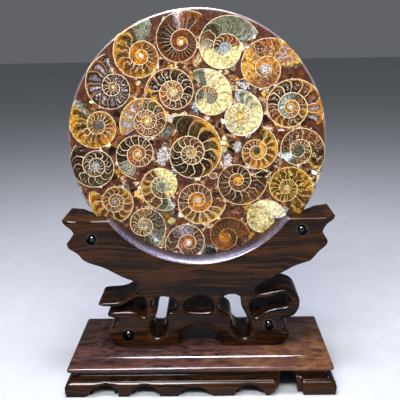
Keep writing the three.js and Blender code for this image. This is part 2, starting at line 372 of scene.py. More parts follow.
class Board:
    """Short ways to place nodes in a material or a node group."""

    def __init__(self, tree: bpy.types.NodeTree) -> None:
        """Starts on an empty tree."""
        self.tree = tree
        tree.nodes.clear()

    def add(self, kind: str, **settings: object) -> bpy.types.Node:
        """A node of a kind, with properties set.

        Args:
            kind: Blender's node type name.
            **settings: Properties of the node.

        Returns:
            The node.
        """
        node = self.tree.nodes.new(kind)
        for name, value in settings.items():
            setattr(node, name, value)
        return node

    def plug(self, socket: bpy.types.NodeSocket, value: object) -> None:
        """Links a signal into a socket, or sets the socket to a value."""
        if isinstance(value, Signal):
            self.tree.links.new(value.socket, socket)
        elif isinstance(value, tuple) and socket.type == "RGBA":
            socket.default_value = (*value, 1.0)
        else:
            socket.default_value = value

    def fill(self, node: bpy.types.Node, **values: object) -> bpy.types.Node:
        """Plugs the inputs of a node by name, with _ for a space."""
        for name, value in values.items():
            self.plug(node.inputs[name.replace("_", " ")], value)
        return node

    def chain(self, node: bpy.types.Node, values: Sequence[object], output: int | str = 0) -> Signal:
        """Plugs the inputs of a node in their order.

        Args:
            node: The node.
            values: What goes into its inputs.
            output: Which of its outputs is wanted.

        Returns:
            That output.
        """
        for socket, value in zip(node.inputs, values):
            self.plug(socket, value)
        return Signal(self, node.outputs[output])

    def signals(self, node: bpy.types.Node) -> Signals:
        """The outputs of a node by their names."""
        return {socket.name: Signal(self, socket) for socket in node.outputs}

    def maths(self, operation: str, *values: Value, clamp: bool = False) -> Signal:
        """One step of arithmetic.

        Args:
            operation: Blender's name for it.
            *values: Numbers or signals.
            clamp: Whether the result is held in 0 to 1.

        Returns:
            The result.
        """
        return self.chain(self.add("ShaderNodeMath", operation=operation, use_clamp=clamp), values)

    def vector_maths(self, operation: str, *values: object) -> Signal:
        """One step of arithmetic on vectors; a length, a distance and a dot product are values."""
        plain = operation in ("LENGTH", "DISTANCE", "DOT_PRODUCT")
        node = self.add("ShaderNodeVectorMath", operation=operation)
        return self.chain(node, values, "Value" if plain else "Vector")

    def vector(self, *parts: Value) -> Signal:
        """A vector from its parts; those left out are 0."""
        return self.chain(self.add("ShaderNodeCombineXYZ"), parts)

    def split(self, value: Signal, kind: str = "ShaderNodeSeparateXYZ") -> list[Signal]:
        """The three parts of a vector, or of a colour with ShaderNodeSeparateColor."""
        node = self.add(kind)
        self.plug(node.inputs[0], value)
        return [Signal(self, socket) for socket in node.outputs]

    def span(self, value: Value, low: Value, high: Value, first: float = 0.0,
             last: float = 1.0, smooth: bool = True) -> Signal:
        """Maps a value from low..high to first..last, held at its ends."""
        node = self.add("ShaderNodeMapRange",
                        interpolation_type="SMOOTHSTEP" if smooth else "LINEAR")
        return self.chain(node, (value, low, high, first, last))

    def mix(self, factor: Value, first: Paint, second: Paint, blend: str = "MIX") -> Signal:
        """Mixes two colours.

        Args:
            factor: Share of the second.
            first: The colour where the factor is 0.
            second: The colour where the factor is 1.
            blend: Blender's blend type.

        Returns:
            The mixed colour.
        """
        node = self.add("ShaderNodeMix", data_type="RGBA", blend_type=blend)
        for place, value in ((0, factor), (6, first), (7, second)):
            self.plug(node.inputs[place], value)
        return Signal(self, node.outputs[2])

    def shade(self, colour: Paint, amount: Value) -> Signal:
        """A colour multiplied by an amount, darker under 1 and lighter above it."""
        grey = self.chain(self.add("ShaderNodeCombineColor"), (amount, amount, amount))
        return self.mix(1.0, colour, grey, "MULTIPLY")

    def deepen(self, colour: Signal, power: float) -> Signal:
        """A colour made deeper and richer, its dark parts the most; a power of 1 leaves it alone."""
        return self.chain(self.add("ShaderNodeGamma"), (colour, power))

    def ramp(self, factor: Value, stops: Sequence[tuple[float, Colour]],
             interpolation: str = "LINEAR") -> Signal:
        """A run of colours.

        Args:
            factor: Place along it.
            stops: Places in 0..1 with their colours.
            interpolation: Blender's name for the blend between stops.

        Returns:
            The colour.
        """
        node = self.add("ShaderNodeValToRGB")
        band = node.color_ramp
        band.interpolation = interpolation
        while len(band.elements) > 1:
            band.elements.remove(band.elements[-1])
        band.elements[0].position, band.elements[0].color = stops[0][0], (*stops[0][1], 1)
        for place, colour in stops[1:]:
            band.elements.new(place).color = (*colour, 1)
        return self.chain(node, (factor,))

    def noise(self, vector: Signal, scale: float, detail: float = 3.0, rough: float = 0.55,
              as_vector: bool = False) -> Signal:
        """Soft noise in 0..1, or a vector of three such noises."""
        node = self.fill(self.add("ShaderNodeTexNoise"), Vector=vector, Scale=scale, Detail=detail,
                         Roughness=rough)
        return Signal(self, node.outputs[1 if as_vector else 0])

    def cells(self, vector: Signal, scale: float, feature: str = "F1") -> Signals:
        """Cells round scattered points."""
        node = self.add("ShaderNodeTexVoronoi", feature=feature)
        return self.signals(self.fill(node, Vector=vector, Scale=scale))

    def stretched(self, vector: Signal, scale: tuple[float, float, float]) -> Signal:
        """A place with its parts scaled, to draw a texture out."""
        node = self.fill(self.add("ShaderNodeMapping"), Vector=vector, Scale=scale)
        return Signal(self, node.outputs[0])

    def bump(self, height: Signal, strength: float, distance: float) -> Signal:
        """A normal bent by a height.

        Args:
            height: The height, from 0 to about 1.
            strength: Share of the effect.
            distance: How high 1 stands, in metres.

        Returns:
            The normal.
        """
        node = self.fill(self.add("ShaderNodeBump"), Height=height, Strength=strength,
                         Distance=distance)
        return Signal(self, node.outputs[0])

    def group(self, tree: bpy.types.NodeTree, **inputs: object) -> Signals:
        """Places a shared group.

        Args:
            tree: The group.
            **inputs: Its inputs by name, with _ for a space.

        Returns:
            Its outputs by name.
        """
        return self.signals(self.fill(self.add("ShaderNodeGroup", node_tree=tree), **inputs))


class SharedEffect:
    """A shader node group with named inputs and outputs."""

    def __init__(self, name: str, inputs: Sockets, outputs: Sockets) -> None:
        """Makes the group's sockets.

        Args:
            name: The group's name.
            inputs: The names of its inputs by their kind.
            outputs: The names of its outputs by their kind.
        """
        self.tree = bpy.data.node_groups.new(name, "ShaderNodeTree")
        for side, sockets in (("INPUT", inputs), ("OUTPUT", outputs)):
            for kind, titles in sockets.items():
                for title in titles:
                    self.tree.interface.new_socket(title, in_out=side, socket_type=kind)
        self.board = Board(self.tree)
        self.given = self.board.signals(self.board.add("NodeGroupInput"))
        self.end = self.board.add("NodeGroupOutput")

    def give(self, **results: Signal) -> bpy.types.NodeTree:
        """Plugs the group's outputs, named with _ for a space, and gives the finished group."""
        self.board.fill(self.end, **results)
        return self.tree


def blank_material(name: str) -> tuple[bpy.types.Material, Board, bpy.types.Node]:
    """A material with a Principled shader on its output.

    Args:
        name: The material's name.

    Returns:
        The material, its board and the shader node.
    """
    material = bpy.data.materials.new(name)
    material.use_nodes = True
    board = Board(material.node_tree)
    shader = board.add("ShaderNodeBsdfPrincipled")
    board.fill(board.add("ShaderNodeOutputMaterial"), Surface=Signal(board, shader.outputs[0]))
    return material, board, shader


def object_place(board: Board) -> Signal:
    """The Object coordinates of a material."""
    return board.signals(board.add("ShaderNodeTexCoord"))["Object"]


# ------------------------------------------------------------------ the sliced shells
class Mineral(Enum):
    """What a chamber, its lining or a core is filled with, as linear colours."""

    SMOKE = (0.036, 0.016, 0.006)
    OLIVE = (0.070, 0.050, 0.014)
    MOSS = (0.075, 0.090, 0.045)
    BROWN = (0.120, 0.046, 0.010)
    PLUM = (0.110, 0.036, 0.022)
    RUST = (0.260, 0.080, 0.009)
    ORANGE = (0.500, 0.205, 0.013)
    AMBER = (0.340, 0.135, 0.013)
    GOLD = (0.530, 0.275, 0.022)
    HONEY = (0.660, 0.390, 0.070)
    LEMON = (0.710, 0.630, 0.270)
    CREAM = (0.780, 0.670, 0.385)
    IVORY = (0.760, 0.675, 0.470)
    GREEN = (0.165, 0.172, 0.112)
    GREY = (0.300, 0.300, 0.250)
    LAVENDER = (0.360, 0.290, 0.350)
    SLATE = (0.190, 0.150, 0.165)
    ICE = (0.580, 0.650, 0.680)
    WHITE = (0.850, 0.810, 0.760)
    PINK = (0.500, 0.170, 0.120)


class Tone(Enum):
    """The material slot of a shell, by how dark it is on the whole."""

    AMBER = "fossil_amber"
    DARK = "fossil_dark"
    PALE = "fossil_pale"


@dataclass(frozen=True)
class Fossil:
    """One sliced shell: its coil on the face, in millimetres and degrees, and its colours.

    Attributes:
        core: The middle of the coil, across and up from the middle of the slice.
        radius: From the core to the outer wall at the mouth.
        mouth: The direction of the mouth, up from straight across.
        growth: How many times the coil widens in a turn.
        way: 1 where the coil runs clockwise back from its mouth, -1 where it doesn't.
        zones: Places back along the coil from the mouth, in turns, each with what fills the
            chambers there, what lines them, and how clearly the walls between them show.
        heart: What the core is made of.
        heart_size: The radius of the core.
        chambers: How many there are in a turn.
        living: Turns back from the mouth that have no walls between chambers.
        bow: How far those walls bow towards the mouth, as a share of a chamber.
        sweep: How far they sweep back towards the outer wall, likewise.
        frill: How much they waver.
        wall: How thick the walls are.
        lining: How much of a chamber the lining takes.
        bias: How much more of it lies along the outer side.
        mottle: How mottled the filling is.
        veil: How milky it is, with painted highlights deep in its chambers.
        streak: How streaked it is across the coil.
        rim: How strong a dark line parts the lining from the filling, and how much painted shade darkens
            the filling towards that line.
        fade: How far the walls between chambers are lost towards the outside.
        shell: What the walls are made of.
        tone: How dark the shell is on the whole.
    """

    core: Point
    radius: float
    mouth: float
    growth: float
    way: int
    zones: tuple[tuple[float, Mineral, Mineral, float], ...]
    heart: Mineral = Mineral.ICE
    heart_size: float = 1.0
    chambers: float = 17.0
    living: float = 0.0
    bow: float = 0.3
    sweep: float = 0.4
    frill: float = 0.1
    wall: float = 0.5
    lining: float = 0.45
    bias: float = 0.0
    mottle: float = 0.4
    veil: float = 0.08
    streak: float = 0.3
    rim: float = 0.0
    fade: float = 0.0
    shell: Mineral = Mineral.IVORY
    tone: Tone = Tone.AMBER


M = Mineral  # short, for the tables
FOSSILS: tuple[Fossil, ...] = (
    Fossil((-8, 56), 19.5, 45, 2.45, -1,
           ((0, M.BROWN, M.RUST, 0.6), (0.07, M.PLUM, M.AMBER, 0.7), (0.11, M.PLUM, M.PINK, 0.6),
            (0.13, M.PINK, M.WHITE, 1), (0.15, M.LAVENDER, M.WHITE, 0.6), (0.18, M.PLUM, M.BROWN, 0.4),
            (0.32, M.SMOKE, M.PLUM, 0.6), (0.5, M.SMOKE, M.RUST, 0.6),
            (0.58, M.PLUM, M.RUST, 0.2), (0.7, M.SMOKE, M.RUST, 0.5),
            (0.95, M.PLUM, M.BROWN, 0.2), (1.0, M.PLUM, M.RUST, 0.05),
            (1.8, M.PLUM, M.RUST, 0), (1.95, M.ORANGE, M.GOLD, 0), (2.8, M.GOLD, M.HONEY, 0)),
           M.WHITE, 1.1, 26, bow=0, sweep=0.35, fade=0.85, frill=0.15, streak=0.8, lining=0.45, bias=0.8,
           wall=0.45, tone=Tone.DARK),
    Fossil((-31, 49), 20.7, 67, 2.45, -1,
           ((0, M.GREEN, M.GREY, 0), (0.09, M.GREEN, M.GREY, 0), (0.1, M.OLIVE, M.GOLD, 1),
            (0.3, M.BROWN, M.GOLD, 1), (0.45, M.BROWN, M.AMBER, 1), (0.6, M.BROWN, M.GOLD, 0.8),
            (0.8, M.BROWN, M.AMBER, 0.6), (1.0, M.BROWN, M.AMBER, 0.4),
            (1.1, M.AMBER, M.AMBER, 0), (1.7, M.AMBER, M.ORANGE, 0), (2.0, M.ORANGE, M.GOLD, 0)),
           M.ICE, 1.2, 16, living=0.1, bow=0.2, sweep=0.5, frill=0.5, lining=0.55, bias=0.5, fade=0.5,
           mottle=0.8, streak=0.5),
    Fossil((16.5, 52.5), 21, 16, 2.3, -1,
           ((0, M.ICE, M.GREEN, 1), (0.05, M.GREEN, M.GREY, 1), (0.12, M.GREEN, M.GREEN, 0.4),
            (0.25, M.GREEN, M.GREEN, 0.6), (0.27, M.OLIVE, M.GREEN, 1), (0.36, M.BROWN, M.OLIVE, 1),
            (0.43, M.GREY, M.AMBER, 0.8), (0.5, M.LEMON, M.CREAM, 0.6), (0.6, M.LEMON, M.CREAM, 0.4),
            (0.95, M.LEMON, M.CREAM, 0.3), (1.0, M.RUST, M.RUST, 0.8), (1.42, M.SMOKE, M.RUST, 1),
            (1.5, M.GREEN, M.GREY, 0), (1.75, M.LEMON, M.CREAM, 0), (2.0, M.LEMON, M.AMBER, 0.3)),
           M.ICE, 3.4, 13, bow=0.1, sweep=1.0, mottle=0.3, streak=0.5, tone=Tone.PALE),
    Fossil((39.5, 40.5), 21.3, 0, 2.45, -1,
           ((0, M.MOSS, M.GOLD, 1), (0.04, M.RUST, M.HONEY, 0.9), (0.1, M.LAVENDER, M.AMBER, 0.9),
            (0.17, M.RUST, M.HONEY, 0.9), (0.22, M.RUST, M.RUST, 1), (0.32, M.BROWN, M.RUST, 1),
            (0.40, M.HONEY, M.GOLD, 0.1), (0.56, M.GOLD, M.HONEY, 0.1), (0.65, M.RUST, M.AMBER, 0.4),
            (0.8, M.BROWN, M.RUST, 0.5), (0.95, M.RUST, M.GOLD, 0.5),
            (1.05, M.ORANGE, M.GOLD, 0.2), (1.5, M.ORANGE, M.AMBER, 0.2), (1.6, M.BROWN, M.RUST, 0.6),
            (2.0, M.ORANGE, M.GOLD, 0.2)),
           M.WHITE, 3.2, 17, frill=0.7, mottle=0.9, veil=0.5, lining=0.5),
    Fossil((-47.5, 31.5), 19.6, 95, 2.6, -1,
           ((0, M.SLATE, M.BROWN, 0.5), (0.3, M.SLATE, M.AMBER, 0.5),
            (0.6, M.SLATE, M.BROWN, 0.5), (0.8, M.PLUM, M.BROWN, 0.6), (0.98, M.SLATE, M.BROWN, 0.5),
            (1.02, M.PLUM, M.BROWN, 0.9), (1.7, M.PLUM, M.BROWN, 0.9), (1.85, M.ORANGE, M.GOLD, 0)),
           M.WHITE, 0.7, 13, bow=0.1, sweep=0.4, lining=0.3, bias=0.1, rim=1.0, veil=0.75,
           mottle=0.12, streak=0.0),
    Fossil((-13, 28), 17, 186, 2.1, 1,
           ((0, M.SMOKE, M.GOLD, 1), (0.15, M.SMOKE, M.AMBER, 1), (0.5, M.SMOKE, M.BROWN, 1),
            (0.8, M.PLUM, M.RUST, 1), (0.95, M.RUST, M.ORANGE, 1), (1.2, M.RUST, M.ORANGE, 1),
            (1.9, M.AMBER, M.ORANGE, 0.8), (2.2, M.GOLD, M.HONEY, 0)),
           M.CREAM, 3.0, 14, bow=0.1, sweep=0.5, lining=0.3, bias=0.5, veil=0.7, wall=0.55,
           mottle=0.3, tone=Tone.DARK),
    Fossil((7.5, 25), 17.8, 127, 2.55, 1,
           ((0, M.MOSS, M.GREEN, 0), (0.07, M.MOSS, M.GREEN, 0), (0.08, M.GREY, M.CREAM, 1),
            (0.16, M.LEMON, M.CREAM, 0.8), (0.3, M.CREAM, M.LEMON, 0.5), (0.6, M.LEMON, M.CREAM, 0.4),
            (0.78, M.LEMON, M.CREAM, 0.3), (0.84, M.MOSS, M.GREEN, 0.1), (0.97, M.MOSS, M.GREEN, 0.1),
            (1.0, M.AMBER, M.ORANGE, 1), (1.3, M.RUST, M.AMBER, 1), (1.4, M.MOSS, M.GREY, 0.3),
            (1.8, M.LEMON, M.GREY, 0.3), (2.1, M.GREEN, M.MOSS, 0)),
           M.GREY, 1.6, 14, living=0.07, bow=0.1, sweep=0.7, mottle=0.5, streak=0.6, veil=0.5,
           tone=Tone.PALE),
    Fossil((25, 13.5), 16.1, 102, 2.1, 1,
           ((0, M.GREY, M.ICE, 0.3), (0.1, M.GREEN, M.LEMON, 0.7), (0.3, M.LEMON, M.CREAM, 0.7),
            (0.6, M.LEMON, M.CREAM, 0.6), (0.68, M.GREY, M.LEMON, 0.5), (0.78, M.LEMON, M.CREAM, 0.6),
            (1.0, M.LEMON, M.HONEY, 0.5), (1.6, M.LEMON, M.GOLD, 0.4), (2.2, M.HONEY, M.GOLD, 0.2)),
           M.CREAM, 1.2, 18, mottle=0.5, streak=0.6, shell=M.WHITE, tone=Tone.PALE),
    Fossil((54, 18.5), 20.1, 332, 1.95, -1,
           ((0, M.GREY, M.ORANGE, 1), (0.1, M.LAVENDER, M.ORANGE, 1), (0.15, M.RUST, M.ORANGE, 1),
            (0.3, M.BROWN, M.GOLD, 1), (0.37, M.OLIVE, M.GOLD, 1), (0.42, M.BROWN, M.AMBER, 1),
            (0.55, M.BROWN, M.AMBER, 1), (0.64, M.RUST, M.RUST, 0.5), (0.70, M.BROWN, M.GOLD, 0.5),
            (0.9, M.BROWN, M.GOLD, 0.5), (1.0, M.BROWN, M.GOLD, 0.7), (1.2, M.RUST, M.AMBER, 0.6),
            (1.25, M.GREEN, M.GREEN, 0), (1.5, M.ICE, M.GREY, 0), (1.75, M.GREY, M.GREEN, 0),
            (1.9, M.ORANGE, M.AMBER, 0), (2.6, M.ORANGE, M.GOLD, 0)),
           M.ICE, 1.4, 14, bow=0.1, sweep=0.5, wall=0.6, lining=0.4, bias=0.3, veil=0.7, rim=0.6,
           mottle=0.35),
    Fossil((-57, 10), 19.6, 122, 2.65, -1,
           ((0, M.GREEN, M.GREY, 0), (0.04, M.GREEN, M.GREY, 0), (0.05, M.OLIVE, M.GOLD, 1),
            (0.25, M.BROWN, M.GOLD, 0.9), (0.45, M.RUST, M.GOLD, 0.7), (0.7, M.BROWN, M.GOLD, 0.8),
            (1.0, M.BROWN, M.GOLD, 1), (1.6, M.RUST, M.GOLD, 1), (1.85, M.GREEN, M.GREY, 0.5)),
           M.GREY, 2.9, 17, bow=0.1, sweep=0.4, frill=0.45, lining=0.55, bias=0.6, fade=0.5, mottle=0.8,
           streak=0.4),
    Fossil((-28.5, 12), 17.1, 212, 2.1, 1,
           ((0, M.LAVENDER, M.GOLD, 0.3), (0.12, M.GREY, M.GOLD, 0.3), (0.24, M.LAVENDER, M.AMBER, 0.6),
            (0.3, M.OLIVE, M.GOLD, 0.9), (0.42, M.MOSS, M.GOLD, 1), (0.52, M.BROWN, M.GOLD, 0.8),
            (0.6, M.BROWN, M.AMBER, 0.7), (0.8, M.RUST, M.AMBER, 0.7), (1.0, M.RUST, M.ORANGE, 1),
            (1.9, M.RUST, M.ORANGE, 1), (2.1, M.GOLD, M.HONEY, 0)),
           M.WHITE, 0.9, 15, bow=0.1, sweep=0.5, veil=0.7, mottle=0.4, lining=0.4, bias=0.2, rim=0.3),
    Fossil((-4, -7), 23.8, 120, 2.25, 1,
           ((0, M.OLIVE, M.OLIVE, 0.3), (0.07, M.SMOKE, M.OLIVE, 0.8), (0.12, M.OLIVE, M.AMBER, 0.9),
            (0.17, M.SMOKE, M.GOLD, 1),
            (0.22, M.SMOKE, M.GOLD, 1), (0.28, M.OLIVE, M.GOLD, 1), (0.34, M.SMOKE, M.GOLD, 1),
            (0.45, M.SMOKE, M.AMBER, 1), (0.55, M.SMOKE, M.OLIVE, 1), (0.8, M.SMOKE, M.OLIVE, 1),
            (0.95, M.OLIVE, M.AMBER, 1), (1.05, M.BROWN, M.RUST, 1), (1.4, M.BROWN, M.AMBER, 1),
            (1.5, M.BROWN, M.GOLD, 0.9), (1.9, M.BROWN, M.GOLD, 1), (2.3, M.HONEY, M.CREAM, 0.5)),
           M.LAVENDER, 1.1, 13, bow=0.0, sweep=1.0, frill=0.02, wall=0.6, lining=0.28, bias=0.6,
           veil=0.35, mottle=0.3, tone=Tone.DARK),
    Fossil((34.5, -6.5), 14.7, 78, 2.15, 1,
           ((0, M.OLIVE, M.GOLD, 0.9), (0.2, M.BROWN, M.GOLD, 0.9), (0.5, M.RUST, M.GOLD, 0.9),
            (0.8, M.BROWN, M.AMBER, 0.9), (0.98, M.BROWN, M.AMBER, 0.7), (1.05, M.GOLD, M.HONEY, 0.1),
            (1.6, M.HONEY, M.GOLD, 0.1), (1.7, M.BROWN, M.GOLD, 0.6)),
           M.GREEN, 1.7, 14, bow=0.05, sweep=0.3, lining=0.6, bias=0.5, mottle=0.6),
    Fossil((59, -6), 17.1, 304, 2.1, -1,
           ((0, M.SMOKE, M.GOLD, 1), (0.12, M.SMOKE, M.OLIVE, 1), (0.25, M.BROWN, M.AMBER, 1),
            (0.45, M.PLUM, M.BROWN, 0.9),
            (0.62, M.SMOKE, M.AMBER, 0.6), (0.68, M.MOSS, M.MOSS, 0), (0.72, M.ICE, M.ICE, 0),
            (0.77, M.ICE, M.ICE, 0), (0.8, M.MOSS, M.MOSS, 0), (0.9, M.SMOKE, M.RUST, 0.6),
            (1.0, M.BROWN, M.GOLD, 0.9), (1.7, M.BROWN, M.ORANGE, 0.9), (1.8, M.MOSS, M.GREEN, 0)),
           M.GREEN, 2.8, 15, frill=0.8, mottle=0.6, streak=0.3, veil=0.4, lining=0.5, tone=Tone.DARK),
    Fossil((-34.5, -7), 15.4, 270, 2.05, 1,
           ((0, M.BROWN, M.RUST, 0.9), (0.1, M.GREY, M.BROWN, 0.8), (0.2, M.SMOKE, M.BROWN, 1),
            (0.5, M.SMOKE, M.BROWN, 1), (0.8, M.BROWN, M.RUST, 0.9), (1.0, M.RUST, M.AMBER, 0.8),
            (1.1, M.RUST, M.AMBER, 0.3), (1.7, M.RUST, M.ORANGE, 0.3), (2.2, M.ORANGE, M.GOLD, 0.1)),
           M.ICE, 1.2, 15, bow=0.1, sweep=0.4, lining=0.35, veil=0.4, mottle=0.5, tone=Tone.DARK),
    Fossil((-59.5, -13.5), 16.9, 125, 2.0, -1,
           ((0, M.SMOKE, M.SMOKE, 1), (0.2, M.SMOKE, M.BROWN, 1), (0.3, M.OLIVE, M.OLIVE, 1),
            (0.55, M.OLIVE, M.BROWN, 1), (0.7, M.SMOKE, M.BROWN, 1), (1.0, M.SMOKE, M.BROWN, 1),
            (1.5, M.BROWN, M.RUST, 1), (1.85, M.SMOKE, M.GREY, 0.5)),
           M.WHITE, 2.6, 12, bow=0.1, sweep=1.3, frill=0.03, lining=0.35, veil=0.4, mottle=0.5,
           tone=Tone.DARK),
    Fossil((-21, -26), 15.7, 300, 1.95, 1,
           ((0, M.ICE, M.WHITE, 0), (0.035, M.MOSS, M.GREEN, 1), (0.1, M.MOSS, M.GREEN, 1),
            (0.12, M.BROWN, M.AMBER, 1), (0.3, M.BROWN, M.GOLD, 0.9), (0.45, M.SMOKE, M.AMBER, 0.9),
            (0.5, M.SMOKE, M.AMBER, 0.9), (0.53, M.LEMON, M.CREAM, 0.4), (0.85, M.LEMON, M.CREAM, 0.3),
            (0.98, M.LEMON, M.HONEY, 0.4), (1.05, M.BROWN, M.AMBER, 0.7), (1.2, M.BROWN, M.AMBER, 0.6),
            (1.25, M.MOSS, M.GREEN, 0), (1.5, M.GREEN, M.LEMON, 0), (1.7, M.CREAM, M.LEMON, 0.3),
            (2.0, M.GREY, M.GREEN, 0.3)),
           M.GREY, 1.6, 14, bow=0.1, sweep=0.5, mottle=0.6, streak=0.5, veil=0.2, tone=Tone.PALE),
    Fossil((0, -35), 17, 357, 2.05, 1,
           ((0, M.BROWN, M.GOLD, 1), (0.2, M.BROWN, M.HONEY, 1), (0.35, M.BROWN, M.GOLD, 1),
            (0.5, M.BROWN, M.AMBER, 0.8), (0.7, M.BROWN, M.RUST, 0.6), (0.95, M.BROWN, M.AMBER, 0.7),
            (1.02, M.AMBER, M.ORANGE, 0.15), (1.5, M.RUST, M.ORANGE, 0.1), (1.9, M.RUST, M.ORANGE, 0),
            (2.3, M.ORANGE, M.GOLD, 0)),
           M.ICE, 1.5, 17, bow=0.05, sweep=0.2, lining=0.42, mottle=0.5, veil=0.4, bias=0.2),
    Fossil((23.5, -23.5), 18.1, 8, 2.3, 1,
           ((0, M.SMOKE, M.BROWN, 0.9), (0.12, M.BROWN, M.AMBER, 0.8), (0.3, M.SMOKE, M.BROWN, 0.9),
            (0.5, M.BROWN, M.BROWN, 0.8), (0.8, M.SMOKE, M.RUST, 0.7),
            (1.0, M.SMOKE, M.RUST, 0.7), (1.3, M.BROWN, M.RUST, 0.4), (1.6, M.RUST, M.AMBER, 0.2),
            (1.9, M.ORANGE, M.GOLD, 0)),
           M.HONEY, 1.0, 15, bow=0.1, sweep=0.4, fade=0.5, lining=0.4, bias=0.3, mottle=0.9, veil=0.2,
           tone=Tone.DARK),
    Fossil((52, -28.5), 19.3, 283, 2.5, -1,
           ((0, M.BROWN, M.GOLD, 1), (0.5, M.BROWN, M.GOLD, 1), (1.0, M.BROWN, M.GOLD, 0.9),
            (1.5, M.BROWN, M.GOLD, 0.9), (1.8, M.AMBER, M.GOLD, 0.2), (2.3, M.GOLD, M.HONEY, 0)),
           M.CREAM, 2.0, 18, bow=0.1, sweep=0.4, frill=0.5, lining=0.5, bias=0.3, mottle=0.8,
           streak=0.4, shell=M.LEMON),
    Fossil((-49, -35), 16.3, 152, 2.05, -1,
           ((0, M.RUST, M.GOLD, 1), (0.3, M.BROWN, M.GOLD, 1), (0.5, M.BROWN, M.GOLD, 0.8),
            (0.7, M.BROWN, M.GOLD, 0.6), (1.0, M.BROWN, M.AMBER, 0.6), (1.3, M.RUST, M.GOLD, 0.8),
            (1.9, M.BROWN, M.GOLD, 0.6)),
           M.ICE, 1.0, 13, bow=0.1, sweep=1.0, lining=0.5, bias=0.3, mottle=0.7),
    Fossil((38.5, -47), 14.2, 4, 2.2, -1,
           ((0, M.CREAM, M.WHITE, 0.3), (0.2, M.LEMON, M.CREAM, 0.4), (0.4, M.AMBER, M.LEMON, 0.5),
            (0.6, M.GREEN, M.LEMON, 0.4), (0.8, M.HONEY, M.LEMON, 0.3), (1.0, M.LEMON, M.CREAM, 0.3),
            (1.6, M.CREAM, M.LEMON, 0.2), (2.2, M.LEMON, M.CREAM, 0)),
           M.CREAM, 1.2, 13, frill=0.5, mottle=0.6, streak=0.6, lining=0.7, tone=Tone.PALE),
    Fossil((-32.5, -49.5), 16.6, 262, 2.5, -1,
           ((0, M.SMOKE, M.OLIVE, 0.5), (0.1, M.OLIVE, M.GREEN, 0.5), (0.13, M.ICE, M.LAVENDER, 0.2),
            (0.16, M.MOSS, M.GREEN, 0.4), (0.3, M.OLIVE, M.BROWN, 0.8), (0.6, M.OLIVE, M.GOLD, 0.9),
            (0.8, M.BROWN, M.GOLD, 0.9), (1.0, M.BROWN, M.GOLD, 0.8), (1.5, M.AMBER, M.CREAM, 0.5),
            (2.0, M.GREY, M.CREAM, 0.2)),
           M.GREY, 1.4, 16, frill=0.5, mottle=0.8, veil=0.3, tone=Tone.DARK),
    Fossil((-6, -61), 14.8, 205, 2.2, 1,
           ((0, M.BROWN, M.RUST, 0.6), (0.15, M.SMOKE, M.BROWN, 0.8), (0.25, M.LAVENDER, M.PLUM, 0.6),
            (0.32, M.LAVENDER, M.BROWN, 0.5), (0.4, M.SMOKE, M.RUST, 0.5), (0.9, M.BROWN, M.RUST, 0.4),
            (0.98, M.PINK, M.PLUM, 0.2), (1.08, M.PINK, M.RUST, 0), (1.15, M.RUST, M.AMBER, 0),
            (1.8, M.BROWN, M.RUST, 0), (2.0, M.ORANGE, M.GOLD, 0)),
           M.WHITE, 1.7, 16, frill=0.4, mottle=0.5, veil=0.2, lining=0.35, tone=Tone.DARK),
    Fossil((16.5, -57.5), 14.7, 0, 2.35, -1,
           ((0, M.BROWN, M.RUST, 0.5), (0.3, M.SMOKE, M.BROWN, 0.5), (0.5, M.BROWN, M.RUST, 0.4),
            (0.75, M.RUST, M.AMBER, 0.3), (0.95, M.SMOKE, M.BROWN, 0.4), (1.3, M.BROWN, M.RUST, 0.3),
            (1.45, M.AMBER, M.ORANGE, 0), (2.2, M.AMBER, M.GOLD, 0)),
           M.AMBER, 1.2, 20, frill=0.4, fade=0.9, mottle=0.7, streak=0.7, shell=M.GOLD, tone=Tone.DARK),
)


# Lumps in the rock: middle, half width and height, degrees turned, filling and outline.
BLOTS: tuple[tuple[Point, Point, float, Mineral, Mineral], ...] = (
    ((-14, 13.5), (5.5, 2.6), 5, M.WHITE, M.CREAM), ((-17.5, 5.5), (4.5, 3.6), 50, M.GREY, M.PLUM),
    ((-20, -8.5), (3.8, 7.5), -20, M.WHITE, M.BROWN), ((-0.5, 19), (2.6, 3.4), 0, M.ICE, M.SMOKE),
    ((17.8, -11.5), (3.2, 5.0), -10, M.WHITE, M.PLUM), ((23.5, -3.5), (2.8, 3.4), 0, M.WHITE, M.GREEN),
    ((1.0, 46), (2.4, 4.0), -15, M.CREAM, M.AMBER), ((-1.5, 50), (2.2, 3.8), 10, M.PINK, M.BROWN),
    ((27, 31.5), (5.0, 2.4), -25, M.WHITE, M.SMOKE), ((22, 30), (3.0, 2.2), 0, M.CREAM, M.BROWN),
    ((37.8, -20), (5.2, 2.3), 8, M.SMOKE, M.CREAM), ((-15.9, -47), (3.2, 2.8), 0, M.LEMON, M.OLIVE),
    ((-19, -43.5), (2.2, 2.0), 0, M.GOLD, M.SMOKE), ((6.5, -66), (5.0, 3.8), 20, M.SMOKE, M.GREY),
    ((9.3, -20.6), (2.6, 2.2), -20, M.ORANGE, M.ICE), ((-36.6, 31), (2.4, 4.2), 10, M.AMBER, M.PLUM),
    ((29, 4.2), (2.0, 3.0), 20, M.WHITE, M.GREY), ((-23, -35), (2.6, 2.0), 0, M.WHITE, M.BROWN),
    ((30, -40), (4.2, 3.0), -30, M.HONEY, M.BROWN), ((-44, -7), (2.0, 4.4), 10, M.CREAM, M.SMOKE),
)


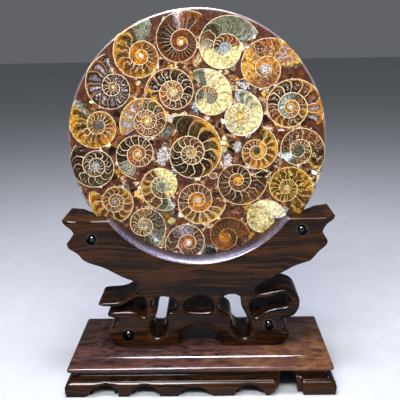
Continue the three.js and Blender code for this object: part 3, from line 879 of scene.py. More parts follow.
# ------------------------------------------------------------------ finishes of the slice
def face_effect(tilt: float, centre: Place) -> bpy.types.NodeTree:
    """The place on the face of the slice, across and up from its middle, in millimetres.

    Args:
        tilt: Degrees that the slice leans back.
        centre: Its middle, in millimetres.

    Returns:
        The group.
    """
    effect = SharedEffect("Place on Face", {VECTOR: ("Place",)},
                          {VALUE: ("Across", "Up"), VECTOR: ("Flat",)})
    board = effect.board
    lean = math.radians(tilt)
    shifted = board.vector_maths("SUBTRACT", effect.given["Place"], tuple(c * MM for c in centre))
    rise = board.vector_maths("DOT_PRODUCT", shifted,
                              (0, math.sin(lean) / MM, math.cos(lean) / MM))
    across = board.split(shifted)[0] * (1 / MM)
    return effect.give(Across=across, Up=rise, Flat=board.vector(across, rise))


def coil_effect() -> bpy.types.NodeTree:
    """Where a place lies along and across a coiled tube that shrinks turn by turn.

    The tube is cut into chambers by curved walls. Counts run back from the mouth.
    """
    effect = SharedEffect(
        "Coiled Tube",
        {VALUE: ("Across", "Up", "Core Across", "Core Up", "Radius", "Mouth", "Growth", "Way",
                 "Chambers", "Bow", "Sweep", "Waver")},
        {VALUE: ("Turns", "Width", "To Wall", "To Septum", "Half Cell", "Count", "Along",
                 "From Core")})
    board, given = effect.board, effect.given
    maths = board.maths
    least_reach, least_depth = 0.05, 0.001
    steady_arc = 3.2  # under this length in millimetres a chamber wavers in full
    dx = given["Across"] - given["Core Across"]
    dy = given["Up"] - given["Core Up"]
    reach = maths("MAXIMUM", maths("SQRT", dx * dx + dy * dy), least_reach)
    back = (maths("RADIANS", given["Mouth"]) - maths("ARCTAN2", dy, dx)) * given["Way"]
    part = maths("FRACT", back / (2 * math.pi))
    depth = maths("LOGARITHM", given["Radius"] / reach, given["Growth"])
    turns = part + maths("FLOOR", maths("MAXIMUM", depth - part, least_depth))
    outer = given["Radius"] * maths("POWER", given["Growth"], turns * -1.0)
    height = outer * (1.0 - 1.0 / given["Growth"])
    width = (outer - reach) / height
    near = 0.5 - maths("ABSOLUTE", width - 0.5)
    lag = 1.0 - maths("POWER", maths("MAXIMUM", 1.0 - width, 0.0), 3.0)
    bowed = given["Bow"] * maths("SINE", width * math.pi) + given["Sweep"] * lag
    arc = reach * (2 * math.pi) / given["Chambers"]
    steady = maths("MINIMUM", steady_arc / arc, 1.0)
    along = turns * given["Chambers"] + (bowed + given["Waver"] * steady)
    gap = 0.5 - maths("ABSOLUTE", maths("FRACT", along) - 0.5)
    return effect.give(
        Turns=turns, Width=width, To_Wall=near * height, To_Septum=gap * arc,
        Half_Cell=0.5 * maths("MINIMUM", arc, height), Count=maths("FLOOR", along),
        Along=along, From_Core=reach)


class ChamberPaint:
    """The shared effect that colours a chambered shell.

    Each step takes the colour so far and gives it back with one more thing on it.
    """

    RIM_LINE: Colour = (0.022, 0.010, 0.006)
    # Pale milky crystal, which also stands in for painted highlights deep in the chambers.
    VEIL_HIGHLIGHT: Colour = (0.70, 0.65, 0.64)
    FAR = 9.0  # stands for no wall nearby, in millimetres
    LEAST_LINING = 0.08
    DARKEST = 0.18

    def __init__(self) -> None:
        """Makes what several steps share, and runs the steps."""
        effect = SharedEffect(
            "Chambered Coil",
            {VECTOR: ("Flat",),
             VALUE: ("Width", "To Wall", "To Septum", "Half Cell", "Count", "Along", "From Core",
                     "Turns", "Living", "Wall", "Leaf", "Lining Share", "Bias", "Mottle", "Veil",
                     "Streak", "Rim", "Fade", "Heart Size", "Seed"),
             COLOUR: ("Filling", "Lining", "Wall Colour", "Heart")},
            {COLOUR: ("Colour",), VALUE: ("Roughness", "Relief")})
        self.board = board = effect.board
        self.given = given = effect.given
        self.fine = board.noise(given["Flat"], 1.0, 4, 0.65)
        self.patch = board.noise(given["Flat"], 0.52, 4, 0.65)
        self.fibre = board.noise(
            board.vector(given["Along"] * 4.5, given["Width"] * 1.6, given["Seed"]), 1.0, 3, 0.6)
        self.chances = self.chamber_chances()
        open_end = board.maths("LESS_THAN", given["Turns"], given["Living"])
        self.septum = given["To Septum"] + open_end * self.FAR
        nearest = board.maths("SMOOTH_MIN", given["To Wall"], self.septum, given["Half Cell"] * 0.6)
        self.depth = nearest / given["Half Cell"]
        colour = self.mottled(self.lined())
        colour, shell = self.walled(self.with_heart(self.veiled_with_highlights(colour)))
        self.tree = effect.give(Colour=colour, Relief=shell,
                                Roughness=board.span(self.fine, 0.3, 0.7, 0.12, 0.24))

    def chamber_chances(self) -> list[Signal]:
        """Three values in 0..1 for each chamber, from its count and the shell's seed."""
        board = self.board
        draw = board.add("ShaderNodeTexWhiteNoise", noise_dimensions="2D")
        board.fill(draw, Vector=board.vector(self.given["Count"], self.given["Seed"]))
        return board.split(board.signals(draw)["Color"], "ShaderNodeSeparateColor")

    def lined(self) -> Signal:
        """What fills the chambers, and the crystal that lines their walls, with painted shade towards
        the edge of a rimmed filling.
        """
        board, given = self.board, self.given
        edge = self.depth + (self.chances[0] - 0.5) * 0.3 + (
            (self.fine - 0.5) * (given["Mottle"] * 1.6) + (self.fibre - 0.5) * (given["Streak"] * 1.8))
        share = given["Lining Share"] + given["Bias"] * (0.5 - given["Width"])
        share = board.maths("MAXIMUM", share, self.LEAST_LINING)
        filled = board.span(edge, share * 0.55, share * 1.25)
        colour = board.mix(filled, given["Lining"], given["Filling"])
        ring = board.span(edge, share * 0.6, share) * board.span(
            edge, share * 1.15, share * 1.5, 1.0, 0.0)
        colour = board.mix(ring * given["Rim"], colour, self.RIM_LINE)
        # Painted shade: where there is a rim, the filling darkens towards its edge and lightens in its
        # middle, as if hollow.
        hollow = board.span(self.depth, share, 0.95, 0.22, 1.05) * given["Rim"]
        return board.mix(filled, colour, board.shade(colour, hollow + (1.0 - given["Rim"])))

    def mottled(self, colour: Signal) -> Signal:
        """Adds darker and lighter lumps, grains and fibres, and small glints."""
        board, mottle = self.board, self.given["Mottle"]
        lumps = (self.patch - 0.5) * (1.4 + mottle * 3.4)
        grain = (self.fine - 0.5) * (1.2 + mottle * 3.2)
        fibres = (self.fibre - 0.5) * (self.given["Streak"] * 3.6)
        lift = 1.0 + lumps + (grain + fibres) + (self.chances[1] - 0.5) * 0.5
        colour = board.shade(colour, board.maths("MAXIMUM", lift, self.DARKEST))
        glint = board.noise(self.given["Flat"], 1.25, 3, 0.6)
        bright = board.span(glint, 0.60, 0.70) * (0.15 + mottle * 0.45)
        return board.mix(bright, colour, self.given["Wall Colour"])

    def veiled_with_highlights(self, colour: Signal) -> Signal:
        """Adds pale clouds deep inside some of the chambers, strongest at their middles: milky crystal,
        and painted highlights on it.
        """
        board = self.board
        mist = board.noise(self.given["Flat"], 0.75, 3, 0.6)
        cloud = board.span(mist + self.depth * 0.22, 0.66, 0.80)
        cloud = cloud * board.span(self.chances[2], 0.15, 0.6, 0.2, 1.0)
        amount = board.maths("MULTIPLY", cloud, self.given["Veil"], clamp=True)
        return board.mix(amount, colour, self.VEIL_HIGHLIGHT)

    def with_heart(self, colour: Signal) -> Signal:
        """Adds the core of the coil, of facets where it is large."""
        board, given = self.board, self.given
        size = given["Heart Size"]
        core = board.span(given["From Core"] + (self.fine - 0.5) * 2.0, size * 0.8, size * 1.1,
                          1.0, 0.0)
        facet = board.span(board.cells(given["Flat"], 1.1)["Distance"], 0.1, 0.7, 1.15, 0.45)
        facet = board.maths("MAXIMUM", facet, board.span(size, 1.0, 2.5, 1.0, 0.0))
        return board.mix(core, colour, board.shade(given["Heart"], facet))

    def walled(self, colour: Signal) -> tuple[Signal, Signal]:
        """Adds the walls of the tube and of the chambers, with a shadow along them.

        Args:
            colour: The colour so far.

        Returns:
            The colour, and where the walls are.
        """
        board, given = self.board, self.given
        maths, width = board.maths, given["Width"]
        half = maths("MINIMUM", given["Wall"] * 0.56, given["Half Cell"] * 0.30)
        shadow = board.span(maths("MINIMUM", given["To Wall"], self.septum), half, half * 2.4,
                            0.36, 1.0)
        colour = board.shade(colour, maths("MAXIMUM", shadow, 1.0 - given["Leaf"]))
        rind = maths("LESS_THAN", given["Turns"], 1.0) * maths("LESS_THAN", width, 0.5)
        thick = half * (1.0 + rind * 0.9)
        wall = board.span(self.patch, 0.38, 0.52, 0.5, 1.0) * board.span(
            given["To Wall"], thick * 0.55, thick, 1.0, 0.0)
        lost = given["Fade"] * board.span(width + (self.patch - 0.5) * 0.8, 0.15, 0.65, 1.0, 0.0)
        leaf = given["Leaf"] * board.span(self.septum, half * 0.3, half * 0.85, 1.0, 0.0)
        size = given["Heart Size"]
        outside_heart = board.span(given["From Core"], size, size + 0.6)
        shell = maths("MAXIMUM", wall, leaf * (1.0 - lost)) * outside_heart
        return board.mix(shell, colour, given["Wall Colour"]), shell


def blot_effect() -> bpy.types.NodeTree:
    """Lays one ragged lump of crystal or broken shell, with its edge line, over a colour."""
    effect = SharedEffect(
        "Crystal Lump",
        {VECTOR: ("Flat",), COLOUR: ("Under", "Colour", "Outline"),
         VALUE: ("Across", "Up", "Wide", "High", "Turn")}, {COLOUR: ("Colour",)})
    board, given = effect.board, effect.given
    spin = board.fill(board.add("ShaderNodeVectorRotate", rotation_type="Z_AXIS"),
                      Vector=given["Flat"], Center=board.vector(given["Across"], given["Up"]),
                      Angle=given["Turn"] * -1.0)
    parts = board.split(board.signals(spin)["Vector"])
    across = (parts[0] - given["Across"]) / given["Wide"]
    up = (parts[1] - given["Up"]) / given["High"]
    ragged = board.noise(given["Flat"], 0.38, 5, 0.7)
    veins = board.noise(given["Flat"], 0.62, 5, 0.72)
    reach = board.maths("SQRT", across * across + up * up) + (ragged - 0.5) * 2.4
    body = board.shade(given["Colour"], board.span(veins, 0.38, 0.62, 0.25, 0.88))
    body = board.mix(board.span(veins, 0.44, 0.34, 0.0, 0.85), body, given["Outline"])
    body = board.mix(board.span(reach, 0.70, 0.86), body, given["Outline"])
    return effect.give(Colour=board.mix(board.span(reach, 0.92, 1.02), body, given["Under"]))


class StoneFinish:
    """The polished finishes of the slice: one for each shell, and one for the rock.

    Cement and chips say at which values of a noise each of their colours comes.
    """

    POLISH = 1.18  # how much it deepens the colours of the stone
    SPECULAR = 0.15
    COAT = 0.3
    COAT_ROUGHNESS = 0.04
    TURNS_SHOWN = 3.4  # how many turns the colours of a coil are laid along
    ORANGE_STAIN: Colour = (0.300, 0.105, 0.020)
    PALE_SPECK: Colour = (0.66, 0.52, 0.40)
    DARK_SPECK: Colour = (0.020, 0.008, 0.006)
    # Paler colour for the rounded rim: a painted highlight.
    EDGE_PAINTED_HIGHLIGHT: Colour = (0.56, 0.47, 0.52)
    CEMENT: tuple[tuple[float, Colour], ...] = (
        (0.26, (0.008, 0.004, 0.003)), (0.37, (0.045, 0.018, 0.011)),
        (0.46, (0.108, 0.041, 0.026)), (0.54, (0.185, 0.088, 0.050)),
        (0.60, (0.390, 0.225, 0.115)), (0.67, (0.640, 0.510, 0.330)),
        (0.76, (0.800, 0.750, 0.660)))
    CHIPS: tuple[tuple[float, Mineral], ...] = (
        (0.0, M.CREAM), (0.15, M.AMBER), (0.27, M.WHITE), (0.38, M.RUST), (0.50, M.HONEY),
        (0.60, M.PLUM), (0.68, M.SMOKE), (0.82, M.BROWN), (0.92, M.GREY))

    def __init__(self, tilt: float, centre: Place, radius: float) -> None:
        """Makes the shared effects.

        Args:
            tilt: Degrees that the slice leans back.
            centre: Its middle, in millimetres.
            radius: Its radius, in millimetres.
        """
        self.radius = radius
        self.face = face_effect(tilt, centre)
        self.coil = coil_effect()
        self.chamber = ChamberPaint().tree
        self.blot = blot_effect()

    def along_coil(self, board: Board, turn: Signal, places: Iterable[float],
                   colours: Iterable[Colour]) -> Signal:
        """A run of colours along a coil.

        Args:
            board: The material's board.
            turn: The place along the coil, in 0..1.
            places: Where each colour comes, in turns from the mouth.
            colours: The colours.

        Returns:
            The colour.
        """
        return board.ramp(turn, [(place / self.TURNS_SHOWN, colour)
                                 for place, colour in zip(places, colours)])

    def shell(self, name: str, seed: int, fossil: Fossil) -> bpy.types.Material:
        """The polished finish of one sliced shell.

        Args:
            name: Its node's name.
            seed: Sets the chance of each chamber.
            fossil: Its coil and colours.

        Returns:
            The material.
        """
        material, board, shader = blank_material("Ammonite " + name[-2:])
        place = board.group(self.face, Place=object_place(board))
        flat = place["Flat"]
        drift = board.noise(flat, 0.16, 2, 0.5)
        waver = board.noise(flat, 0.42, 2, 0.5)
        coil = board.group(
            self.coil, Across=place["Across"], Up=place["Up"],
            Core_Across=fossil.core[0], Core_Up=fossil.core[1],
            Radius=fossil.radius, Mouth=fossil.mouth, Growth=fossil.growth,
            Way=fossil.way, Chambers=fossil.chambers, Bow=fossil.bow,
            Sweep=fossil.sweep, Waver=(drift - 0.5) * 1.4 + (waver - 0.5) * (fossil.frill * 3.2))
        turn = board.maths("DIVIDE", coil["Turns"], self.TURNS_SHOWN, clamp=True)
        places, fillings, linings, clearness = zip(*fossil.zones)
        placed = ("Width", "To Wall", "To Septum", "Half Cell", "Count", "Along", "From Core",
                  "Turns")
        look = board.group(
            self.chamber, Flat=flat, **{title: coil[title] for title in placed},
            Filling=self.along_coil(board, turn, places, [kind.value for kind in fillings]),
            Lining=self.along_coil(board, turn, places, [kind.value for kind in linings]),
            Leaf=self.along_coil(board, turn, places, [(clear,) * 3 for clear in clearness]),
            Living=fossil.living, Wall=fossil.wall, Lining_Share=fossil.lining, Bias=fossil.bias,
            Mottle=fossil.mottle, Veil=fossil.veil, Streak=fossil.streak, Rim=fossil.rim,
            Fade=fossil.fade, Heart_Size=fossil.heart_size, Seed=seed,
            Wall_Colour=fossil.shell.value, Heart=fossil.heart.value)
        board.fill(shader, Base_Color=board.deepen(look["Colour"], self.POLISH),
                   Roughness=look["Roughness"], Normal=board.bump(look["Relief"], 0.15, 0.00005),
                   Specular_IOR_Level=self.SPECULAR, Coat_Weight=self.COAT,
                   Coat_Roughness=self.COAT_ROUGHNESS)
        return material

    def rock(self) -> bpy.types.Material:
        """Mauve-brown rock with chips of shell and calcite in it."""
        material, board, shader = blank_material("Fossil Rock")
        place = board.group(self.face, Place=object_place(board))
        flat = place["Flat"]
        reach = board.vector_maths("LENGTH", flat)
        border = board.span(reach, 60.0, 69.0) * board.span(place["Up"], -30.0, 30.0, 0.25, 1.0)
        rich = board.span(board.noise(flat, 0.085, 2, 0.5), 0.40, 0.60) * (1.0 - border * 0.9)
        specks = board.noise(flat, 1.1, 4, 0.7)
        colour = self.cement(board, flat, rich)
        colour = self.chipped(board, flat, specks, rich, border, colour)
        colour = board.mix(board.span(specks, 0.61, 0.69) * (0.10 + rich * 0.45), colour,
                           self.PALE_SPECK)
        colour = board.mix(board.span(specks, 0.42, 0.34) * 0.8, colour, self.DARK_SPECK)
        for where, size, turn, filling, outline in BLOTS:
            colour = board.group(
                self.blot, Flat=flat, Under=colour, Colour=filling.value, Outline=outline.value,
                Across=where[0], Up=where[1], Wide=size[0],
                High=size[1], Turn=math.radians(turn))["Colour"]
        # Painted highlight: a paler band is mixed into the colour round the rounded rim, where the coat
        # is also thicker and rougher.
        outer = board.span(reach, self.radius - 1.8, self.radius - 0.4)
        colour = board.mix(outer * 0.3, board.deepen(colour, self.POLISH), self.EDGE_PAINTED_HIGHLIGHT)
        board.fill(shader, Base_Color=colour, Roughness=board.span(specks, 0.3, 0.7, 0.14, 0.3),
                   Specular_IOR_Level=self.SPECULAR, Coat_Weight=self.COAT + outer * 0.7,
                   Coat_Roughness=self.COAT_ROUGHNESS + outer * 0.18)
        return material

    def cement(self, board: Board, flat: Signal, rich: Signal) -> Signal:
        """The ground of the rock.

        Args:
            board: The material's board.
            flat: The place on the face.
            rich: Where it is rich in crystal, paler and more varied.

        Returns:
            Its colour.
        """
        detail = board.noise(flat, 0.24, 4, 0.62)
        grit = board.noise(flat, 0.9, 3, 0.6)
        level = 0.46 + ((detail - 0.5) * (0.30 + rich * 1.35) + (grit - 0.5) * (0.14 + rich * 0.30))
        ground = board.ramp(level + rich * 0.075, self.CEMENT)
        stain = board.span(board.noise(flat, 0.30, 2, 0.5), 0.54, 0.66) * (0.15 + rich * 0.6)
        return board.mix(stain, ground, self.ORANGE_STAIN)

    def chipped(self, board: Board, flat: Signal, specks: Signal, rich: Signal, border: Signal,
                ground: Signal) -> Signal:
        """Scatters chips of shell and calcite over the ground.

        Args:
            board: The material's board.
            flat: The place on the face.
            specks: Fine noise.
            rich: Where chips are common.
            border: Where they are rare.
            ground: The colour between them.

        Returns:
            The colour with the chips.
        """
        warped = board.vector_maths("ADD", flat, board.noise(flat, 0.55, 3, 0.6, as_vector=True))
        seams = board.cells(warped, 0.27, "DISTANCE_TO_EDGE")["Distance"]
        chance = board.split(board.cells(warped, 0.27)["Color"], "ShaderNodeSeparateColor")
        chip = board.ramp(chance[0], [(place, kind.value) for place, kind in self.CHIPS],
                          "CONSTANT")
        common = board.span(border, 0.0, 1.0, 0.72, 0.93, False) - rich * 0.25
        seen = board.span(seams, 0.03, 0.12) * board.maths("GREATER_THAN", chance[1], common)
        mottle = board.span(specks, 0.36, 0.64, 0.35, 1.35) + (chance[2] - 0.5)
        return board.mix(seen, ground, board.shade(chip, mottle))


# ------------------------------------------------------------------ the slice of rock
@dataclass
class RockSlice:
    """The polished disc: rock with the sliced shells let into it, right through."""

    radius: float = 75.0
    thickness: float = 9.0
    tilt: float = 3.0
    centre: Place = (0.0, 9.39, 140.16)
    rim_round: float = 1.2
    crease: float = 32.0

    def leaned(self, piece: bpy.types.Object) -> None:
        """Takes a piece made upright round the origin to the leaning slice's place."""
        piece.rotation_euler = (math.radians(-self.tilt), 0, 0)
        piece.location = [c * MM for c in self.centre]
        place_in_mesh(piece)

    @staticmethod
    def shell_outline(fossil: Fossil) -> list[Point]:
        """The sawn outline of a shell: one turn of its outer wall, closed across the mouth."""
        steps, first_degrees, mouth_share = 108, 7, 0.86
        outline = [(0.0, mouth_share)]
        for step in range(steps + 1):
            turn = (first_degrees + (360 - first_degrees) * step / steps) / 360
            outline.append((turn, fossil.growth ** -turn))
        points = []
        for turn, share in outline:
            angle = math.radians(fossil.mouth - fossil.way * 360 * turn)
            reach = fossil.radius * share
            points.append((fossil.core[0] + reach * math.cos(angle),
                           fossil.core[1] + reach * math.sin(angle)))
        return points

    def disc_blank(self) -> bpy.types.Object:
        """The bare disc with its polished, rounded edges."""
        disc = drum("matrix_disc", self.radius, self.thickness, (0, 0, 0))
        depths = [corner.co.y for corner in disc.data.vertices]

        def is_rim(edge: bpy.types.MeshEdge) -> bool:
            """Whether both ends of an edge lie on the same face of the disc."""
            first, last = edge.vertices
            return abs(depths[first] - depths[last]) < 1e-6

        choose(disc, "EDGE", is_rim)
        bpy.ops.mesh.bevel(offset=self.rim_round * MM, segments=5, profile=0.5)
        bpy.ops.object.mode_set(mode="OBJECT")
        return disc

    def finished(self, piece: bpy.types.Object, material: bpy.types.Material,
                 node: str) -> None:
        """Leans a piece of the slice back, shades and dresses it, and seats it.

        Args:
            piece: The piece, made upright round the origin.
            material: Its finish.
            node: The CAD node that it stands for.
        """
        self.leaned(piece)
        smooth_by_angle(piece, self.crease)
        dress(piece, material)
        seat(piece, [node])

    def build(self) -> None:
        """Saws the shells and the rock round them, and dresses them."""
        finish = StoneFinish(self.tilt, self.centre, self.radius)
        disc = self.disc_blank()
        half = self.thickness / 2
        overcut = 1.0
        cutters = []
        shells = []
        for fossil in FOSSILS:
            outline = self.shell_outline(fossil)
            cutters.append(sawn_block("cutter", [outline], -half - overcut, half + overcut))
            shell = sawn_block(f"ammonite_{len(cutters):02d}_slice", [outline], -half, half)
            if math.hypot(*fossil.core) + fossil.radius > self.radius - 2 * self.rim_round:
                cut(shell, disc, "INTERSECT", keep_tool=True)
            shells.append(shell)
        clear_selection()
        for cutter in cutters:
            cutter.select_set(True)
        bpy.context.view_layer.objects.active = cutters[0]
        bpy.ops.object.join()
        cut(disc, bpy.context.object)
        disc.name = "rock_disc"
        self.finished(disc, finish.rock(), "matrix_disc")
        for number, (fossil, shell) in enumerate(zip(FOSSILS, shells), start=1):
            node = f"ammonite_{number:02d}"
            self.finished(shell, finish.shell(node, number, fossil), node)


# ------------------------------------------------------------------ the wooden stand
@dataclass(frozen=True)
class GlossWood:
    """Dark, oiled and varnished wood with straight grain along the stand.

    Knots are the middles of the black plugs, whose ring grooves are painted black as painted shade,
    and the lip is the radius of the curved lip and the height of its middle, all in millimetres;
    a painted highlight is laid on that lip.
    """

    name: str
    dark: Colour = (0.0035, 0.0014, 0.0008)
    middle: Colour = (0.012, 0.0045, 0.0017)
    light: Colour = (0.062, 0.020, 0.0042)
    gloss: float = 0.25
    gloss_rough: float = 0.10
    grain: float = 1.0
    sap: float = 0.0
    knots: tuple[Point, ...] = ()
    knot_size: float = 3.55
    # Black of the plugs, also painted into their ring grooves as painted shade.
    plug_black_and_groove_shade: Colour = (0.0020, 0.0014, 0.0012)
    lip: Point | None = None

    def material(self) -> bpy.types.Material:
        """The wood as a material."""
        material, board, shader = blank_material(self.name)
        place = object_place(board)
        waved = self.waved(board, place)
        lines = self.drawn_out(board, waved, (11.0, 420.0, 1450.0), 3)
        bands = self.drawn_out(board, waved, (6.0, 80.0, 210.0), 3)
        pores = self.drawn_out(board, waved, (110.0, 900.0, 1500.0), 2)
        patches = board.noise(place, 28.0, 3, 0.6)
        level = lines * 0.46 + (bands * 0.34 + patches * 0.20)
        colour = board.ramp(level, [(0.40, self.dark), (0.49, self.middle),
                                    (0.57, self.light), (0.66, self.middle)])
        pore = board.span(pores, 0.60, 0.70)
        colour = board.mix(pore * 0.7, colour, self.dark)
        if self.sap:
            colour = self.sapwood(board, place, colour)
        coat: Value = self.gloss
        coat_rough: Value = self.gloss_rough
        if self.knots:
            # The plugs are black, and their ring grooves are painted black as painted shade; both get a
            # full coat.
            plug_and_shade = self.plug_and_groove_shade_mask(board, place)
            colour = board.mix(plug_and_shade, colour, self.plug_black_and_groove_shade)
            coat = board.span(plug_and_shade, 0.0, 1.0, self.gloss, 1.0, False)
            coat_rough = board.span(plug_and_shade, 0.0, 1.0, self.gloss_rough, self.gloss_rough / 2, False)
        if self.lip:
            # Painted highlight: a paler lavender band is laid into the lip's colour, and the coat is
            # thicker and rougher there too.
            colour, lip_highlight_share = self.painted_lip_highlight(board, place, colour)
            coat = board.maths("ADD", coat, lip_highlight_share * 0.4, clamp=True)
            coat_rough = coat_rough + lip_highlight_share * 0.08
        board.fill(shader, Base_Color=colour, Roughness=board.span(level, 0.4, 0.62, 0.46, 0.32),
                   Normal=board.bump(bands - pore * 0.3, 0.2, 0.00015), Specular_IOR_Level=0.02,
                   Coat_Weight=coat, Coat_Roughness=coat_rough)
        return material

    @staticmethod
    def waved(board: Board, place: Signal) -> Signal:
        """The place pushed about up and in, so that the grain wanders."""
        waved = place
        for scale, push in ((16.0, (0.0, 0.008, 0.016)), (55.0, (0.0, 0.0015, 0.0030))):
            drift = board.noise(place, scale, 2, 0.5, as_vector=True)
            waved = board.vector_maths("MULTIPLY_ADD", drift, push, waved)
        return waved

    def drawn_out(self, board: Board, place: Signal, scale: Place, detail: float) -> Signal:
        """Noise drawn out along the grain.

        Args:
            board: The material's board.
            place: The place.
            scale: How often the noise changes across, in depth and in height, per metre.
            detail: How fine it is.

        Returns:
            The noise.
        """
        drawn = board.stretched(place, tuple(part * self.grain for part in scale))
        return board.noise(drawn, 1.0, detail, 0.6)

    def sapwood(self, board: Board, place: Signal, colour: Signal) -> Signal:
        """Adds the paler, curly figure, which grows stronger towards one end."""
        amount = board.noise(place, 22.0, 4, 0.65) + board.split(place)[0] * 1.6
        curl = board.noise(board.stretched(place, (0.5, 1.0, 1.0)), 190.0, 4, 0.7)
        figure = board.ramp(curl, [(0.38, (0.050, 0.021, 0.013)), (0.50, (0.135, 0.058, 0.025)),
                                   (0.62, (0.255, 0.112, 0.042))])
        return board.mix(board.span(amount, 0.55, 0.72) * self.sap, colour, figure)

    @staticmethod
    def before(board: Board, place: Signal, depth: float) -> Signal:
        """A mask: 1 in front of a depth in millimetres, 0 behind it."""
        return board.maths("LESS_THAN", board.split(place)[1], depth * MM)

    @staticmethod
    def from_axis(board: Board, place: Signal, x: float, z: float) -> Signal:
        """How far a place is from an axis that runs front to back.

        Args:
            board: The material's board.
            place: The place.
            x: The axis's place across, in millimetres.
            z: The axis's height, in millimetres.

        Returns:
            The distance in metres.
        """
        upright = board.vector_maths("MULTIPLY", place, (1.0, 0.0, 1.0))
        return board.vector_maths("DISTANCE", upright, (x * MM, 0.0, z * MM))

    def painted_lip_highlight(self, board: Board, place: Signal, colour: Signal) -> tuple[Signal, Signal]:
        """Adds a painted highlight to the curved lip: a paler lavender band, brightest at its rounded
        front edge.

        Args:
            board: The material's board.
            place: The place.
            colour: The colour so far.

        Returns:
            The colour, and the share of the painted highlight.
        """
        radius, height = self.lip
        across, deep, _ = board.split(place)
        from_middle = board.maths("ABSOLUTE", across + 3 * MM)  # the painted highlight is strongest left of the middle
        middle = board.span(from_middle, 16 * MM, 42 * MM, 1.0, 0.45)
        gap = self.from_axis(board, place, 0.0, height)
        # worn is the band of the lip that takes the painted highlight.
        worn = self.before(board, place, 6.0) * middle * board.span(
            gap, (radius + 0.8) * MM, (radius + 1.7) * MM, 1.0, 0.0)
        # The painted highlight grows brighter towards the rounded front edge, and the speckle breaks it
        # up.
        near_edge = board.span(deep, 3 * MM, -9 * MM)
        sheen = board.ramp(near_edge, [
            (0.0, (0.018, 0.012, 0.016)), (0.5, (0.036, 0.030, 0.050)),
            (0.85, (0.095, 0.090, 0.145)), (1.0, (0.300, 0.290, 0.410))])
        highlight_speckle = board.span(board.noise(place, 900.0, 4, 0.7), 0.38, 0.62, 0.30, 0.95)
        return board.mix(worn * highlight_speckle, colour, sheen), worn

    def plug_and_groove_shade_mask(self, board: Board, place: Signal) -> Signal:
        """Where the black plugs and the ring grooves round them are, 1 there and 0 away; the grooves are
        painted shade.
        """
        nearest: Value = 1.0
        for x, z in self.knots:
            nearest = board.maths("MINIMUM", self.from_axis(board, place, x, z), nearest)
        round_it = board.span(nearest, self.knot_size * MM, (self.knot_size + 0.5) * MM, 1.0, 0.0)
        return round_it * self.before(board, place, -6.0)


# The cradle from its left foot, anticlockwise from the front, and then its openings.
CRADLE_OUTLINE: tuple[Run, ...] = (
    ((-46, 18), (-13, 18)),
    ((-13, 18), (-12.6, 23.4), (-9.9, 27.4), (-5.6, 29.6), (0.4, 30.4), (5.9, 29.2),
     (9.7, 25.8), (12.4, 21.5), (13, 18)),
    ((13, 18), (42.5, 18)),
    ((42.5, 18), (49.6, 20), (53.4, 22.9), (53.2, 27), (49.2, 28.8)),
    ((49.2, 28.8), (49.9, 31.6), (49, 35.4)),
    ((49, 35.4), (53.7, 35.6), (57.2, 37.9), (59.4, 42), (59.6, 46.5), (57.8, 50.3),
     (54.2, 52.7), (48.8, 53.5), (43, 52.6), (37.6, 51.6), (33.8, 51)),
    ((33.8, 51), (33.2, 53.4), (33.1, 55.6)),
    ((33.1, 55.6), (38.6, 58.9), (47.6, 63.6), (56.4, 68.4), (65.3, 71.4)),
    ((65.3, 71.4), (70.2, 77.2), (73.6, 80.2), (75, 82.8), (73.6, 85.6)),
    ((73.6, 85.6), (71.9, 89), (74, 93.2), (77.6, 96), (79, 98.4)),
    ((79, 98.4), (70, 97.3), (52, 97.4)),
    ((52, 97.4), (-52, 97.4)),
    ((-52, 97.4), (-70, 97.2), (-79, 98)),
    ((-79, 98), (-77.4, 95), (-73.6, 91.8), (-72.3, 89), (-73.2, 86.1)),
    ((-73.2, 86.1), (-76.4, 84), (-75.8, 80.6), (-71, 77.4), (-67.9, 73.6), (-64.5, 71.5)),
    ((-64.5, 71.5), (-55.4, 68.2), (-46, 63), (-36.6, 58.8), (-33.7, 55.6)),
    ((-33.7, 55.6), (-37.4, 52.4), (-42, 50), (-46.4, 47.6), (-53, 46.7), (-61.4, 46.4)),
    ((-61.4, 46.4), (-61, 44.8), (-58, 43.9)),
    ((-58, 43.9), (-51.6, 43.6), (-46, 44.3), (-42.2, 46.7), (-38.4, 49), (-34.8, 49.8),
     (-32, 47.6)),
    ((-32, 47.6), (-32.2, 36.2)),
    ((-32.2, 36.2), (-36, 38.6), (-39.4, 40.7), (-46.3, 41.1), (-53, 40.4), (-56.6, 38.6)),
    ((-56.6, 38.6), (-53.4, 36.8), (-49.8, 36.2)),
    ((-49.8, 36.2), (-49.2, 33.4), (-50.2, 30.6)),
    ((-50.2, 30.6), (-53.6, 29.8), (-54.9, 26.6), (-53.8, 22.8), (-50.6, 20), (-46, 18)),
)
CRADLE_OPENINGS: tuple[Run, ...] = (
    ((-28.6, 47), (-24.6, 49.3), (-19.8, 49.5), (-15.4, 48), (-13.4, 44.6), (-15, 41),
     (-20, 39), (-20.1, 33.5), (-20.6, 27.6), (-24.4, 23.8), (-28.2, 24.2), (-29.5, 29.4),
     (-27.6, 35.4), (-25, 40), (-28.4, 42.2)),
    ((-8.7, 41.2), (-8.4, 45.2), (-5.2, 48.2), (-0.9, 49.7), (3.6, 49.7), (7.2, 47.2),
     (7.8, 43.8), (6.6, 40.4), (-1, 39.9)),
    ((11, 42.8), (12.4, 47), (16, 50.2), (20.9, 50.7), (24.8, 48.4), (24.4, 44),
     (27.4, 37.6), (30.2, 31), (30, 25.6), (26.8, 22.8), (22.6, 24.4), (19.4, 28.2),
     (19.2, 34.4), (15.6, 38.2), (12, 40.2)),
    ((30.9, 46.8), (37, 48.2), (41.7, 48.4), (45.6, 49.7), (49.4, 50), (53, 48.4),
     (53.6, 44.6), (50.4, 42.6), (44.6, 42), (39.9, 40.5), (36, 37.8), (32.6, 35.9),
     (30.7, 38.7), (30, 42.6)),
)


# The radius of the curved lip and the height of its middle, and the middles of the plugs.
LIP: Point = (63.3, 134.8)
KNOTS: tuple[Point, ...] = ((-62, 86), (59.8, 90.4), (-43.2, 25.8), (41.2, 31.4))


